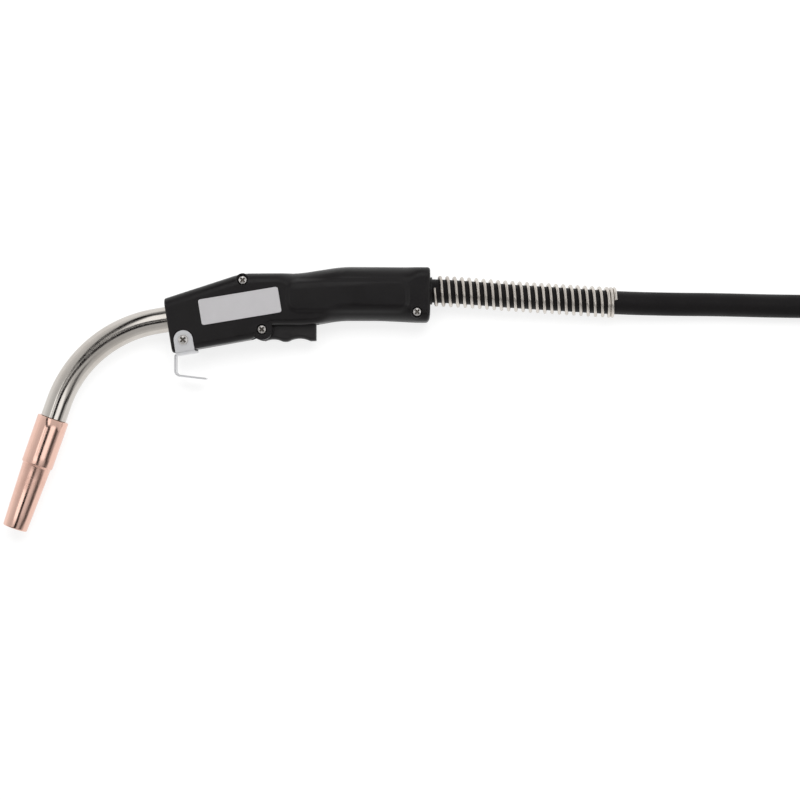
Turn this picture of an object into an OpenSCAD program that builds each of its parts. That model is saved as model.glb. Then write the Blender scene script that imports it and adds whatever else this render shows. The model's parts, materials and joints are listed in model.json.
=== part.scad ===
/* [Handle] */
// Length of the handle from its front lip to its rear face
handle_l = 217; // [200:1:240]
// Thickness of the handle, left side to right side
handle_t = 36; // [34:0.5:40]
// Height of the rear grip
grip_h = 43.4; // [40:0.2:48]
// Height of the front face, measured along its slope
head_h = 44.8; // [42:0.2:48]
// Wall of the two shells
shell_wall = 3; // [2.4:0.1:3.4]
// Radius of the large rounded edges of the grip
grip_edge_r = 15; // [12:0.5:16.5]
// Radius of the upper edges of the head
head_edge_r = 8; // [5:0.5:10]
// Distance from the front lip back to the brow of the head
brow_l = 63.4; // [58:0.2:68]

/* [Neck] */
// Angle by which the neck leaves the handle below the grip line
neck_tilt = 9.4; // [6:0.2:14]
// Height of the neck axis above the lower corner of the front face
neck_up = 28.4; // [26:0.2:29]
// Outer diameter of the plated jacket
jacket_d = 21; // [20:0.2:23]
// Wall of the plated jacket
jacket_wall = 1; // [0.8:0.1:1.2]
// Wall of the insulating sleeve between jacket and conductor
insulation_wall = 1.5; // [1.2:0.1:1.8]
// Bore of the conductor tube
conductor_bore = 6.6; // [6.2:0.1:8]
// Straight run of the neck in front of the handle
neck_straight = 10.5; // [8:0.1:30]
// Radius of the neck's bend, on its axis
bend_r = 102; // [90:1:120]
// Angle of the neck's bend
bend_angle = 61.2; // [45:0.2:70]
// Straight run between the bend and the nozzle
neck_end = 13.8; // [6:0.1:20]

/* [Nozzle and front end] */
// Length of the nozzle
nozzle_l = 95; // [86:0.5:110]
// Outer diameter of the nozzle's rear sleeve
nozzle_d = 26; // [25:0.1:27]
// Length of the nozzle's rear sleeve up to the step
nozzle_sleeve_l = 40.5; // [38:0.5:46]
// Outer diameter just in front of the step
nozzle_step_d = 23.6; // [22.6:0.1:24]
// Outer diameter at the mouth
mouth_d = 20.4; // [18.5:0.1:21]
// Bore at the mouth
mouth_bore = 15.9; // [14.5:0.1:16.5]
// Diameter of the contact tip
tip_d = 8; // [7:0.1:9]
// Wire bore of the contact tip
wire_bore = 1.35; // [1:0.05:2.2]
// How far the tip stands back from the nozzle's mouth
tip_recess = 3; // [0:0.5:6]

/* [Name plate] */
// Length of the plate
plate_l = 65.6; // [50:0.2:70]
// Height of the plate
plate_h = 21; // [16:0.2:22]
// Thickness of the plate
plate_t = 0.9; // [0.6:0.1:1.4]

/* [Trigger and switch] */
// Width of the trigger
trigger_w = 15; // [12:0.5:18]
// Reach of the trigger behind its pivot
trigger_l = 43.8; // [40:0.2:44]
// Full squeeze of the trigger
trigger_travel = 4; // [2:0.5:5]
// Outer diameter of the pivot bush
bush_d = 7; // [6.4:0.1:8]
// Length of the switch body
switch_l = 19.8; // [17:0.2:20]
// Width of the switch body
switch_t = 10.2; // [8:0.1:13]

/* [Screws] */
// Diameter of the handle screws
screw_d = 4; // [3.5:0.1:4.2]
// Diameter of their heads
screw_head_d = 7.4; // [7:0.1:8]
// Width of the nuts across their flats
nut_af = 7; // [6.6:0.1:7.2]

/* [Hanger hook] */
// Thickness of the hook's sheet
hook_t = 1.6; // [1.2:0.1:2]
// Width of its cheeks
cheek_w = 15.6; // [14:0.2:18]
// Width of the hanging tongue
tongue_w = 14; // [10:0.5:18]
// Drop of the tongue below the handle
tongue_drop = 16.5; // [13:0.5:24]
// Reach of the tongue
tongue_l = 25.5; // [18:0.5:34]

/* [Cable and strain relief] */
// Diameter of the cable
cable_d = 19.2; // [18:0.2:20]
// Diameter of the spring wire
spring_wire = 2.7; // [2:0.1:2.8]
// Pitch of the spring's open curls
spring_pitch = 5.95; // [5:0.05:7]
// Open curls of the spring
spring_open = 24; // [18:1:26]
// Closed curls at the spring's far end
spring_closed = 2; // [1:1:4]
// Outer diameter of the ferrule at the handle's rear face
ferrule_d = 22.4; // [22:0.2:24]

/* [Machine connector] */
// Outer diameter of the ring nut
ring_d = 45; // [44:0.5:52]
// Length of the ring nut
ring_l = 36; // [32:0.5:42]
// Length of the connector housing
housing_l = 72; // [66:0.5:90]
// Diameter of the current pin
pin_d = 10; // [8:0.1:12]
// Length of the current pin in front of the body
pin_l = 30; // [20:0.5:40]
// Travel of the two contact pins
contact_travel = 3; // [1:0.5:4]

/* [Hidden] */
$fn = 48;
eps = 0.01;

// ---- clearances ----
run_gap = 0.05;      // a shaft that turns or slides in its bore
seat_gap = 0.1;      // a piece seated in a pocket of its own shape
air_gap = 0.3;       // two pieces that pass each other

// ---- colours ----
grip_black = [0.16, 0.15, 0.15];
trigger_black = [0.20, 0.19, 0.19];
cable_black = [0.13, 0.12, 0.12];
plate_silver = [0.75, 0.74, 0.75];
zinc = [0.80, 0.80, 0.81];
nickel = [0.72, 0.69, 0.66];
copper = [0.85, 0.62, 0.52];
brass = [0.82, 0.68, 0.36];
insulator_tan = [0.55, 0.42, 0.28];
steel = [0.60, 0.60, 0.62];
switch_grey = [0.35, 0.35, 0.37];

// ---- small functions ----
function lerp(a, b, t) = a + (b - a) * t;
function ease(t) = let (c = min(max(t, 0), 1)) c * c * (3 - 2 * c);
function rise(x, x0, x1, y0, y1) = lerp(y0, y1, ease((x - x0) / (x1 - x0)));
function blend_min(a, b, soft) = (a + b - sqrt(pow(a - b, 2) + soft * soft)) / 2;
function heading(angle) = [cos(angle), sin(angle), 0];
function unit(v) = v / norm(v);

// ---- handle frame: the handle lies on its right side, its grip along X ----
mid_z = handle_t / 2;
front_x = -110.4;                              // the front lip lies this far ahead of the origin
rear_x = front_x + handle_l;
grip_drop = 0.4;                               // the grip's middle lies this far below the X axis
grip_bottom = grip_h / 2 + grip_drop;
grip_top = grip_h - grip_bottom;
waist = 4.9;                                   // dip of the handle's back between brow and grip
waist_top = grip_top - waist;
brow_x = front_x + brow_l;
lip_drop = 4.5;
lip = [front_x, -lip_drop];                    // upper corner of the front face
chin = lip + head_h * [sin(neck_tilt), -cos(neck_tilt)];
chin_slope = tan(10.1);
throat_lift = 4.7;                             // the throat lies this far below the grip's top, mirrored
throat_drop = grip_top + throat_lift;          // underside of the handle above the trigger
grip_arch = 0.6;                               // the grip's back bulges above its rear end by this
heel_sag = 1.3;                                // and its heel hangs below its underside by this
back_climb = [-8, 42];                         // the back climbs from the waist to the grip here
belly_climb = [0, 40];                         // and the underside from the throat to the grip
sag_start = rear_x - 46;
brow_round = 1.5;
skin = 0.15;                                   // brings the blended back out to its two lines
rake_fade = 110;                               // the sections stand upright this far behind the lip
face_round = 1.5;                              // rounding of the front face's rim
heel_round = 4;                                // rounding of the heel below the cable
rim_round = 2.2;                               // rounding of the rear face's rim
// The three handle screws, each [along the handle, up] from a corner of its outline
pivot_in = [80.1, -29.5];                      // from the lip, level with the X axis
brow_screw_in = [1.1, -5.9];
heel_screw_in = [-10.7, 6.9];
pivot = [front_x + pivot_in.x, pivot_in.y];    // the trigger turns here
brow_screw = [brow_x, waist_top] + brow_screw_in;
heel_screw = [rear_x, -grip_bottom] + heel_screw_in;
screw_places = [brow_screw, pivot, heel_screw];
throat_l = 16;                                 // the underside climbs over this length
throat_start = pivot.x - 7.7;
throat_end = throat_start + throat_l;
crease_start = -16;                            // flat panel of the head ends here
crease_end = -3;
skirt_end = pivot.x + trigger_l + 1;           // behind the trigger the lower edges turn round
skirt_fade = 16;
skirt_edge_r = 5;
boxy_start = rear_x - 22;                      // the grip turns square round the heel screw
boxy_end = rear_x - 8;
boxy_edge_r = 8;

function rake(x) = (chin.x - lip.x) * (1 - ease((x - front_x) / rake_fade));
function top_y(x) = blend_min(
    lerp(lip.y, waist_top, (x - front_x) / (brow_x - front_x)),
    rise(x, back_climb[0], back_climb[1], waist_top, grip_top + grip_arch)
        - rise(x, sag_start, rear_x, 0, grip_arch), brow_round) + skin;
function heel_lift(x) = let (d = max(x - rear_x + heel_round, 0))
    heel_round - sqrt(max(heel_round * heel_round - d * d, 0));
function bottom_y(x) = lerp(
    chin.y + (x - chin.x) * chin_slope,
    rise(x, belly_climb[0], belly_climb[1], -throat_drop, -grip_bottom)
        - rise(x, sag_start, boxy_end, 0, heel_sag),
    ease((x - throat_start) / (throat_end - throat_start))) + heel_lift(x);
function upper_edge_r(x) = rise(x, crease_start, crease_end, head_edge_r, grip_edge_r)
    - rise(x, boxy_start, boxy_end, 0, grip_edge_r - boxy_edge_r);
function lower_edge_r(x) = rise(x, skirt_end, skirt_end + skirt_fade, skirt_edge_r, grip_edge_r)
    - rise(x, boxy_start, boxy_end, 0, grip_edge_r - boxy_edge_r);

// Half a section of the handle, from the parting line over one side and back,
// as a closed ring of points. inset moves it inwards by that much.
function half_section(x, inset, steps) = let (
        t = [x, top_y(x)],
        bx = x + rake(x),
        b = [bx, bottom_y(bx)],
        up = (t - b) / norm(t - b),
        foot = b + inset * up,
        h = norm(t - b) - 2 * inset,
        w = mid_z - inset,
        ru = max(upper_edge_r(x) - inset, 0.8),
        rl = max(lower_edge_r(x) - inset, 0.8),
        flat = concat(
            [[h, 0]],
            [for (i = [0:steps]) let (a = 90 * i / steps) [h - ru + ru * cos(a), w - ru + ru * sin(a)]],
            [for (i = [0:steps]) let (a = 90 + 90 * i / steps) [rl + rl * cos(a), w - rl + rl * sin(a)]],
            [[0, 0]])
    ) [for (p = flat) [foot.x + up.x * p.x, foot.y + up.y * p.x, mid_z + p.y]];
function rim(d, r) = d < r ? r - sqrt(r * r - pow(r - d, 2)) : 0;

// A solid through rings of points with as many points each, in triangles.
module loft(rings) {
    n = len(rings[0]);
    last = (len(rings) - 1) * n;
    polyhedron(
        points = [for (r = rings) each r],
        faces = concat(
            [for (i = [0:len(rings) - 2], j = [0:n - 1]) [(i + 1) * n + j, i * n + (j + 1) % n, i * n + j]],
            [for (i = [0:len(rings) - 2], j = [0:n - 1])
                [(i + 1) * n + j, (i + 1) * n + (j + 1) % n, i * n + (j + 1) % n]],
            [for (j = [1:n - 2]) [0, j, j + 1]],
            [for (j = [1:n - 2]) [last, last + j + 1, last + j]]));
}

// Rings of a tube of the given radius round a line of points. Each ring is
// square to the line, and starts from the direction that outward gives.
function tube_rings(line, outward, radius, sides) = [for (i = [0:len(line) - 1]) let (
        ahead = unit(line[min(i + 1, len(line) - 1)] - line[max(i - 1, 0)]),
        out = unit(outward[i] - (outward[i] * ahead) * ahead),
        across = cross(ahead, out)
    ) [for (j = [0:sides - 1]) let (a = 360 * (j + 0.5) / sides)
        line[i] + radius * (cos(a) * out + sin(a) * across)]];
function least_gap(line, skip, wire) = min([for (i = [0:len(line) - 1])
    for (j = [i + skip:1:len(line) - 1]) norm(line[i] - line[j])]) - wire;

// ---- the neck's own line ----
front_dir = heading(180 + neck_tilt);
nozzle_dir = heading(180 + neck_tilt + bend_angle);
neck_exit = [lip.x, lip.y, mid_z] + (head_h - neck_up) * [sin(neck_tilt), -cos(neck_tilt), 0];
bend_start = neck_exit + neck_straight * front_dir;
bend_centre = bend_start + bend_r * heading(270 + neck_tilt);
bend_end = bend_centre - bend_r * heading(270 + neck_tilt + bend_angle);
nozzle_seat = bend_end + neck_end * nozzle_dir;
cable_y = 2.5;                                 // height of the cable where it leaves the grip
inner_bend_r = 80;
line_l = (cable_y - neck_exit.y) / sin(neck_tilt);
inner_corner = neck_exit - line_l * front_dir;
inner_tangent = inner_bend_r * tan(neck_tilt / 2);
inner_centre = [inner_corner.x + inner_tangent, cable_y - inner_bend_r, mid_z];
behind_l = neck_straight + line_l - inner_tangent;

jacket_r = jacket_d / 2;
insulation_r = jacket_r - jacket_wall - run_gap;
conductor_r = insulation_r - insulation_wall - run_gap;
bore_r = conductor_bore / 2;
liner_r = 2.5;

// Where the neck's pieces end, along the line behind the handle's face
jacket_in = 46;
insulation_in = 52;
block_x = inner_corner.x + inner_tangent + 2;  // front face of the power block
block_rear = rear_x - 20.4;                    // its rear face, ahead of the ferrule
block_l = block_rear - block_x;
block_r = 10;
crimp_l = 12;
crimp_r = 6.5;
conductor_in = 15;                             // how far the conductor enters the block
cable_x = block_x + block_l + crimp_l;         // the cable's end inside the grip

// Where the pieces of the front end lie, along the nozzle's axis from its rear rim
jacket_stop = -0.3;
insulation_stop = 4;
diffuser_start = 5;
conductor_stop = 16;
insulator_start = 5.6;
insulator_end = 32;
diffuser_r = 9;
insulator_wall = 1.6;
insulator_r = diffuser_r + seat_gap / 2 + insulator_wall;
diffuser_neck = 36;                            // the diffuser narrows here, with its gas ports
diffuser_end = 56;
tip_thread = 12;
tip_thread_r = 3;
diffuser_nose_r = 7.2;                         // the diffuser in front of its ports
gas_port_d = 2;
tip_end = nozzle_l - tip_recess;

// ---- helpers for round pieces ----
module along(from, dir) {
    // turns Z into dir and moves the origin to from
    translate(from)
        rotate([0, acos(dir.z), atan2(dir.y, dir.x)])
            children();
}
module pipe(r, inner, l) {
    difference() {
        cylinder(r = r, h = l);
        translate([0, 0, -1])
            cylinder(r = inner, h = l + 2);
    }
}
// A bent tube from the +X axis round the origin, by the angle turn. Its skins lie a
// hair inside those of the straight tubes, which overlap its ends: bend and straight
// become one solid, whatever the radius and the angle.
bend_shy = 0.04;
bend_lap = 1;
module elbow(radius, turn, r, inner) {
    rotate_extrude(angle = turn)
        translate([radius, 0])
            difference() {
                circle(r = r - bend_shy);
                circle(r = inner + bend_shy);
            }
}
// The neck as one tube, drawn round the centre of its bend. behind is how far it
// reaches back past the start of the bend, ahead how far it goes on after it.
module neck_tube(r, inner, behind, ahead) {
    translate(bend_centre)
        rotate([0, 0, 90 + neck_tilt]) {
            translate([bend_r, bend_lap, 0])
                rotate([90, 0, 0])
                    pipe(r, inner, bend_lap + behind);
            elbow(bend_r, bend_angle, r, inner);
            rotate([0, 0, bend_angle])
                translate([bend_r, -bend_lap, 0])
                    rotate([-90, 0, 0])
                        pipe(r, inner, bend_lap + ahead);
            children();
        }
}
// As neck_tube, but carried on through the small bend inside the grip to x = rear.
module long_neck_tube(r, inner, rear, ahead) {
    neck_tube(r, inner, behind_l + bend_lap, ahead)
        translate([bend_r - inner_bend_r, -behind_l, 0])
            rotate([0, 0, -neck_tilt]) {
                elbow(inner_bend_r, neck_tilt, r, inner);
                translate([inner_bend_r, bend_lap, 0])
                    rotate([90, 0, 0])
                        pipe(r, inner, bend_lap + rear - inner_centre.x);
            }
}
module rounded_rect(w, h, r) {
    square([w - 2 * r, h], center = true);
    square([w, h - 2 * r], center = true);
    for (sx = [-1, 1], sy = [-1, 1])
        translate([sx * (w / 2 - r), sy * (h / 2 - r)])
            circle(r = r);
}
module hex(af, h) {
    cylinder(d = af / cos(30), h = h, $fn = 6);
}
// Puts a piece on the handle's front-lower frame, tilted with the head
module head_frame(p) {
    translate([p.x, p.y, 0])
        rotate([0, 0, neck_tilt])
            children();
}

// ---- handle shells ----
head_recess = 3.4;                             // depth of a screw's counterbore
nut_recess = 0.8;
nut_h = 3.2;
outer_boss = [5.6, 8.7, 0];                    // bosses that show in the handle's outline
inner_boss_r = 5.2;
boss_below = 0.6;                              // the bosses end this far below the handle's side
slot_w = trigger_w + 1.2;
slot_ahead = 9.5;                              // the trigger's slot starts this far ahead of its pivot
slot_behind = 2;                               // and ends this far behind the trigger
slot_top = -19.5;                              // and opens into the hollow of the handle
hook_screw_in = [9, 10.7];                      // from the chin
hook_screw_at = chin + hook_screw_in;
cheek_r = cheek_w / 2;
front_wall = 4.5;
rear_wall = 13;
flange_d = 28;
flange_t = 3.2;
flange_x = rear_x - 11.2;
// Saddles that clamp the neck: [distance behind the face, radius of what they hold]
neck_saddles = [[14, jacket_r], [38, jacket_r], [130, conductor_r]];
saddle_r = mid_z - shell_wall + 1.4;
saddle_t = 3;
block_saddles = [block_x + 15, block_rear - 6];    // behind the block's set screws
seat_x = 4.2;                                  // the trigger spring's axis
spring_seat_y = -16.6;
seat_l = 6.6;
// The switch leads run straight through the saddles, one on each side of mid_z
lead_r = 0.9;
lead_side = 6.5;
lead_from = [14, -12.8];
lead_to = [rear_x - 22.6, -11];

shell_step = 4;                                // distance between the sections of the shells
shell_stations = concat(
    [for (d = [0, 0.4, 0.9, face_round]) front_x + d],
    [for (x = [front_x + 5:shell_step:rear_x - 10]) x],
    [for (d = [7, heel_round, 2.9, rim_round, 1.2, 0.5, 0]) rear_x - d]);
cavity_stations = concat(
    [for (x = [front_x + front_wall:9:rear_x - rear_wall - 3]) x],
    [rear_x - rear_wall]);

module shell_block() {
    loft([for (x = shell_stations)
        half_section(x, max(rim(x - front_x, face_round), rim(rear_x - x, rim_round)), 8)]);
}
module shell_cavity() {
    // reaches past the parting plane, so that the cut is clean there
    loft([for (x = cavity_stations) let (ring = half_section(x, shell_wall, 4), n = len(ring))
        [for (i = [0:n - 1]) i == 0 || i == n - 1 ? [ring[i].x, ring[i].y, mid_z - 1] : ring[i]]]);
}
module half_disc(r, h) {
    // upper half of a disc whose axis is Z, on the +X side
    intersection() {
        cylinder(r = r, h = h);
        translate([0, -r - 1, -1])
            cube([r + 1, 2 * r + 2, h + 2]);
    }
}
// One half of the handle, with its parting plane below
module shell(nut_side) {
    difference() {
        union() {
            difference() {
                shell_block();
                shell_cavity();
            }
            // screw bosses
            for (i = [0:2])
                translate([screw_places[i].x, screw_places[i].y, 0]) {
                    if (outer_boss[i] > 0)
                        translate([0, 0, i == 1 ? mid_z + slot_w / 2 : mid_z])
                            cylinder(r = outer_boss[i], h = mid_z - boss_below - (i == 1 ? slot_w / 2 : 0));
                    else
                        translate([0, 0, mid_z])
                            cylinder(r = inner_boss_r, h = mid_z - boss_below);
                }
            // saddles that hold the neck, and the power block in the grip
            for (s = neck_saddles)
                along(neck_exit - s[0] * front_dir, front_dir)
                    rotate([0, 0, 180])
                        half_disc(saddle_r, saddle_t);
            for (x = block_saddles)
                along([x, cable_y, mid_z], [1, 0, 0])
                    rotate([0, 0, 180])
                        half_disc(saddle_r, saddle_t);
            // seat of the trigger spring
            translate([seat_x - seat_l / 2, spring_seat_y, mid_z])
                cube([seat_l, 2, mid_z - shell_wall / 2]);
        }
        // screw holes, counterbores and nut pockets
        for (p = screw_places)
            translate([p.x, p.y, 0]) {
                translate([0, 0, mid_z - 1])
                    cylinder(d = screw_d + 4 * seat_gap, h = mid_z + 2);
                if (nut_side)
                    translate([0, 0, handle_t - nut_recess - nut_h])
                        hex(nut_af + 2 * seat_gap, nut_h + nut_recess + 1);
                else
                    translate([0, 0, handle_t - head_recess])
                        cylinder(d = screw_head_d + 1, h = head_recess + 1);
            }
        // the neck's hole, in one cut through the front wall and the first saddle
        along(neck_exit - (neck_saddles[0][0] + 1) * front_dir, front_dir)
            cylinder(r = jacket_r + run_gap, h = neck_saddles[0][0] + 13);
        for (i = [1:len(neck_saddles) - 1])
            along(neck_exit - (neck_saddles[i][0] + 1) * front_dir, front_dir)
                cylinder(r = neck_saddles[i][1] + run_gap, h = saddle_t + 2);
        along(concat(lead_from, mid_z + lead_side), concat(unit(lead_to - lead_from), 0))
            cylinder(r = lead_r + air_gap, h = norm(lead_to - lead_from));
        // the power block's seats
        along([block_x - 2, cable_y, mid_z], [1, 0, 0])
            cylinder(r = block_r + run_gap, h = block_l + 4);
        // the ferrule's stepped hole in the rear wall
        along([rear_x - rear_wall - 1, cable_y, mid_z], [1, 0, 0])
            cylinder(d = cable_d + 4, h = rear_wall + 2);
        along([rear_x - rear_wall - 1, cable_y, mid_z], [1, 0, 0])
            cylinder(d = ferrule_d + 2 * seat_gap, h = rear_wall + 3);
        along([flange_x - seat_gap, cable_y, mid_z], [1, 0, 0])
            cylinder(d = flange_d + 2 * seat_gap, h = flange_t + 2 * seat_gap);
        // the trigger's slot
        translate([pivot.x - slot_ahead, slot_top - 50, mid_z - 1])
            cube([slot_ahead + trigger_l + slot_behind, 50, 1 + slot_w / 2]);
        // the hook's cheek lies in a recess of its own shape
        head_frame(hook_screw_at) {
            translate([0, 0, handle_t - hook_t - air_gap])
                cheek_plate(cheek_r + air_gap, hook_t + 2);
            translate([0, 0, mid_z - 1])
                cylinder(d = screw_d + 4 * seat_gap, h = mid_z + 2);
            if (nut_side)
                translate([0, 0, handle_t - hook_t - air_gap - clinch_h - seat_gap])
                    cylinder(d = clinch_d + 2 * seat_gap, h = 6);
        }
    }
}
module handle_left() {
    color(grip_black)
        difference() {
            shell(false);
            // bed of the name plate
            translate([plate_at.x, plate_at.y, handle_t - plate_bed])
                rotate([0, 0, neck_tilt])
                    linear_extrude(2)
                        rounded_rect(plate_l + 2 * seat_gap, plate_h + 2 * seat_gap, plate_corner + seat_gap);
        }
}
module handle_right() {
    color(grip_black)
        translate([0, 0, handle_t])
            mirror([0, 0, 1])
                shell(true);
}

plate_in = [62.3, -10.5];                      // the plate's middle, from the lip, level with the X axis
plate_at = [front_x + plate_in.x, plate_in.y];
plate_bed = 0.5;
plate_corner = 1.9;
module name_plate() {
    color(plate_silver)
        translate([plate_at.x, plate_at.y, handle_t - plate_bed])
            rotate([0, 0, neck_tilt])
                linear_extrude(plate_t)
                    rounded_rect(plate_l, plate_h, plate_corner);
}

// ---- fasteners of the handle ----
head_t = 2.6;
cross_w = 1.1;
module cross_cut(d, depth) {
    for (a = [45, 135])
        rotate([0, 0, a])
            translate([-d * 0.29, -cross_w / 2, -depth])
                cube([d * 0.58, cross_w, depth + 1]);
}
module pan_screw(shank_l, d, head_d) {
    // its head's underside is at z = 0, its shank runs down
    difference() {
        union() {
            translate([0, 0, -shank_l])
                cylinder(d = d, h = shank_l + eps);
            cylinder(d = head_d, h = head_t - 0.7);
            translate([0, 0, head_t - 0.7])
                cylinder(d1 = head_d, d2 = head_d - 2.2, h = 0.7);
        }
        translate([0, 0, head_t])
            cross_cut(head_d, 1.5);
    }
}
module handle_screws() {
    color(zinc)
        for (p = screw_places)
            translate([p.x, p.y, handle_t - head_recess])
                pan_screw(handle_t - head_recess - nut_recess - 0.3, screw_d, screw_head_d);
}
module handle_nuts() {
    color(zinc)
        for (p = screw_places)
            translate([p.x, p.y, nut_recess])
                difference() {
                    hex(nut_af, nut_h - seat_gap);
                    translate([0, 0, -1])
                        cylinder(d = screw_d + 2 * run_gap, h = nut_h + 2);
                }
}

// ---- hanger hook ----
web_gap = 0.85;                                // between the web and the head's underside
web_top = -(hook_screw_in.y - hook_screw_in.x * chin_slope) * cos(neck_tilt) - web_gap;
clinch_d = 7;
clinch_h = 3.6;
hook_edge = 0.2;                               // the cheeks stand this far inside the handle's sides
bend_in = [1.2, 3];                            // inner radii of the tongue's two bends
module cheek_plate(r, h) {
    // rounded above the screw, open downwards
    cylinder(r = r, h = h);
    translate([-r, -30, 0])
        cube([2 * r, 30, h]);
}
web_out = 1.6;                                 // the web reaches this far in front of the cheeks
// The tongue's strip bends down from the web, then back under the handle
tongue_headings = [180, 270 - neck_tilt, 353 - neck_tilt];
function ray(a) = [cos(a), sin(a)];
function bend_at(corner, turn, r) =
    corner - r * tan((turn[1] - turn[0]) / 2) * ray(turn[0]) + r * ray(turn[0] + 90);
function arc(centre, r, turn) = [for (i = [0:6]) centre + r * ray(lerp(turn[0], turn[1], i / 6) - 90)];
module tongue_outline() {
    h = tongue_headings;
    half = hook_t / 2;
    radii = [for (r = bend_in) r + half];
    start = [-cheek_r + 2, web_top - half];
    corner = [-cheek_r - web_out, web_top - half];
    low_corner = corner + tongue_drop * ray(h[1]);
    end = low_corner + tongue_l * ray(h[2]);
    first = bend_at(corner, [h[0], h[1]], radii[0]);
    second = bend_at(low_corner, [h[1], h[2]], radii[1]);
    polygon(concat(
        [start + [0, half]],
        arc(first, radii[0] + half, [h[0], h[1]]),
        arc(second, radii[1] + half, [h[1], h[2]]),
        [end - half * ray(h[2] + 90), end + half * ray(h[2] + 90)],
        arc(second, radii[1] - half, [h[2], h[1]]),
        arc(first, radii[0] - half, [h[1], h[0]]),
        [start - [0, half]]));
}
module hanger_hook() {
    color(zinc)
        head_frame(hook_screw_at) {
            difference() {
                intersection() {
                    // a channel round the chin of the handle
                    translate([-cheek_r, 0, handle_t / 2])
                        rotate([90, 0, 90])
                            linear_extrude(cheek_w)
                                difference() {
                                    channel_outline(0);
                                    channel_outline(hook_t);
                                }
                    cheek_plate(cheek_r, handle_t);
                }
                translate([0, 0, -1])
                    cylinder(d = screw_d + 4 * seat_gap, h = handle_t + 2);
            }
            translate([0, 0, mid_z - tongue_w / 2])
                linear_extrude(tongue_w)
                    tongue_outline();
        }
}
module channel_outline(inset) {
    // across the handle: X is the head's height, Y runs from side to side
    half = handle_t / 2 - hook_edge - inset;
    low = web_top - hook_t + inset;
    r = 2.4 - inset;
    translate([low + r, -half])
        square([60, 2 * half]);
    translate([low, -half + r])
        square([60, 2 * half - 2 * r]);
    for (s = [-1, 1])
        translate([low + r, s * (half - r)])
            circle(r = r);
}
module hook_screw() {
    color(zinc)
        translate([hook_screw_at.x, hook_screw_at.y, handle_t - hook_edge])
            pan_screw(handle_t - 2 * hook_edge - hook_t - 0.4, screw_d, screw_head_d + 0.8);
}
module hook_nut() {
    color(zinc)
        translate([hook_screw_at.x, hook_screw_at.y, hook_edge + hook_t])
            difference() {
                cylinder(d = clinch_d, h = clinch_h);
                translate([0, 0, -1])
                    cylinder(d = screw_d + 2 * run_gap, h = clinch_h + 2);
            }
}

// ---- trigger and switch ----
trigger_top = -throat_drop + 1.6;              // flat that meets the plunger, inside the skirts
eye_r = 7.2;                                   // rounded front end round the pivot
trigger_front = pivot.x - eye_r + 0.2;
trigger_rear = pivot.x + trigger_l;
trigger_edge = 3;
upstand = [4, 4.9];                            // length and height of the wall that closes the slot
belly_in = [-10.4, -9.1];                      // its underside at the pivot and at its rear end
// Finger hollows: [behind the pivot, deepest point above it, radius]
scallops = [[8.8, -7.8, 16], [30.3, -7.1, 18]];
function hollow(x, s) = let (d = x - pivot.x - s[0])
    abs(d) < s[2] ? pivot.y + s[1] - s[2] + sqrt(s[2] * s[2] - d * d) : -99;
function eye_half(x) = sqrt(max(eye_r * eye_r - pow(x - pivot.x, 2), 0));
function trigger_under(x) = x < pivot.x ? pivot.y - eye_half(x) : max(
    pivot.y + lerp(belly_in[0], belly_in[1], (x - pivot.x) / trigger_l),
    hollow(x, scallops[0]), hollow(x, scallops[1]),
    pivot.y - eye_r - 2 * (x - pivot.x));
function trigger_upper(x) = x < pivot.x ? pivot.y + eye_half(x) : max(
    pivot.y + eye_half(x), trigger_top,
    rise(x, trigger_rear - upstand.x - 0.6, trigger_rear - upstand.x, trigger_top, trigger_top + upstand.y));
function trigger_section(x) = let (
        low = trigger_under(x),
        high = trigger_upper(x),
        r = min(trigger_edge, (high - low) / 2 - 0.05),
        w = trigger_w / 2
    ) concat(
        [[x, high, mid_z - w], [x, high, mid_z + w]],
        [for (i = [0:4]) let (a = 90 * i / 4) [x, low + r - r * sin(a), mid_z + w - r + r * cos(a)]],
        [for (i = [0:4]) let (a = 90 - 90 * i / 4) [x, low + r - r * sin(a), mid_z - w + r - r * cos(a)]]);
trigger_stations = concat(
    [for (d = [0, 0.5, 1.5, 3, 5]) trigger_front + d],
    [for (x = [pivot.x:1.8:trigger_rear - upstand.x - 1]) x],
    [for (d = [0.6, 0.3, 0]) trigger_rear - upstand.x - d],
    [for (d = [upstand.x / 2, 0]) trigger_rear - d]);
spring_d = 6;
spring_pocket = 4;
module trigger() {
    color(trigger_black)
        difference() {
            loft([for (x = trigger_stations) trigger_section(x)]);
            translate([pivot.x, pivot.y, mid_z - trigger_w / 2 - 1])
                cylinder(d = bush_d + 2 * run_gap, h = trigger_w + 2);
            translate([seat_x, trigger_top - spring_pocket, mid_z])
                rotate([-90, 0, 0])
                    cylinder(d = spring_d + 0.6, h = spring_pocket + 2);
        }
}
module trigger_bush() {
    color(steel)
        translate([pivot.x, pivot.y, mid_z - slot_w / 2])
            pipe(bush_d / 2, screw_d / 2 + seat_gap, slot_w);
}
// A round-wire compression spring along +Y, as one tube
coil_wire = 0.8;
coil_turns = 5;
module trigger_spring() {
    low = trigger_top - spring_pocket + seat_gap;
    l = spring_seat_y - seat_gap - low;
    r = (spring_d - coil_wire) / 2;
    rows = coil_turns * 8;
    line = [for (i = [0:rows]) let (a = 360 * i / 8)
        [seat_x + r * cos(a), low + coil_wire / 2 + (l - coil_wire) * i / rows, mid_z + r * sin(a)]];
    out = [for (i = [0:rows]) let (a = 360 * i / 8) [cos(a), 0, sin(a)]];
    color(steel)
        loft(tube_rings(line, out, coil_wire / 2, 6));
}
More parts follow.
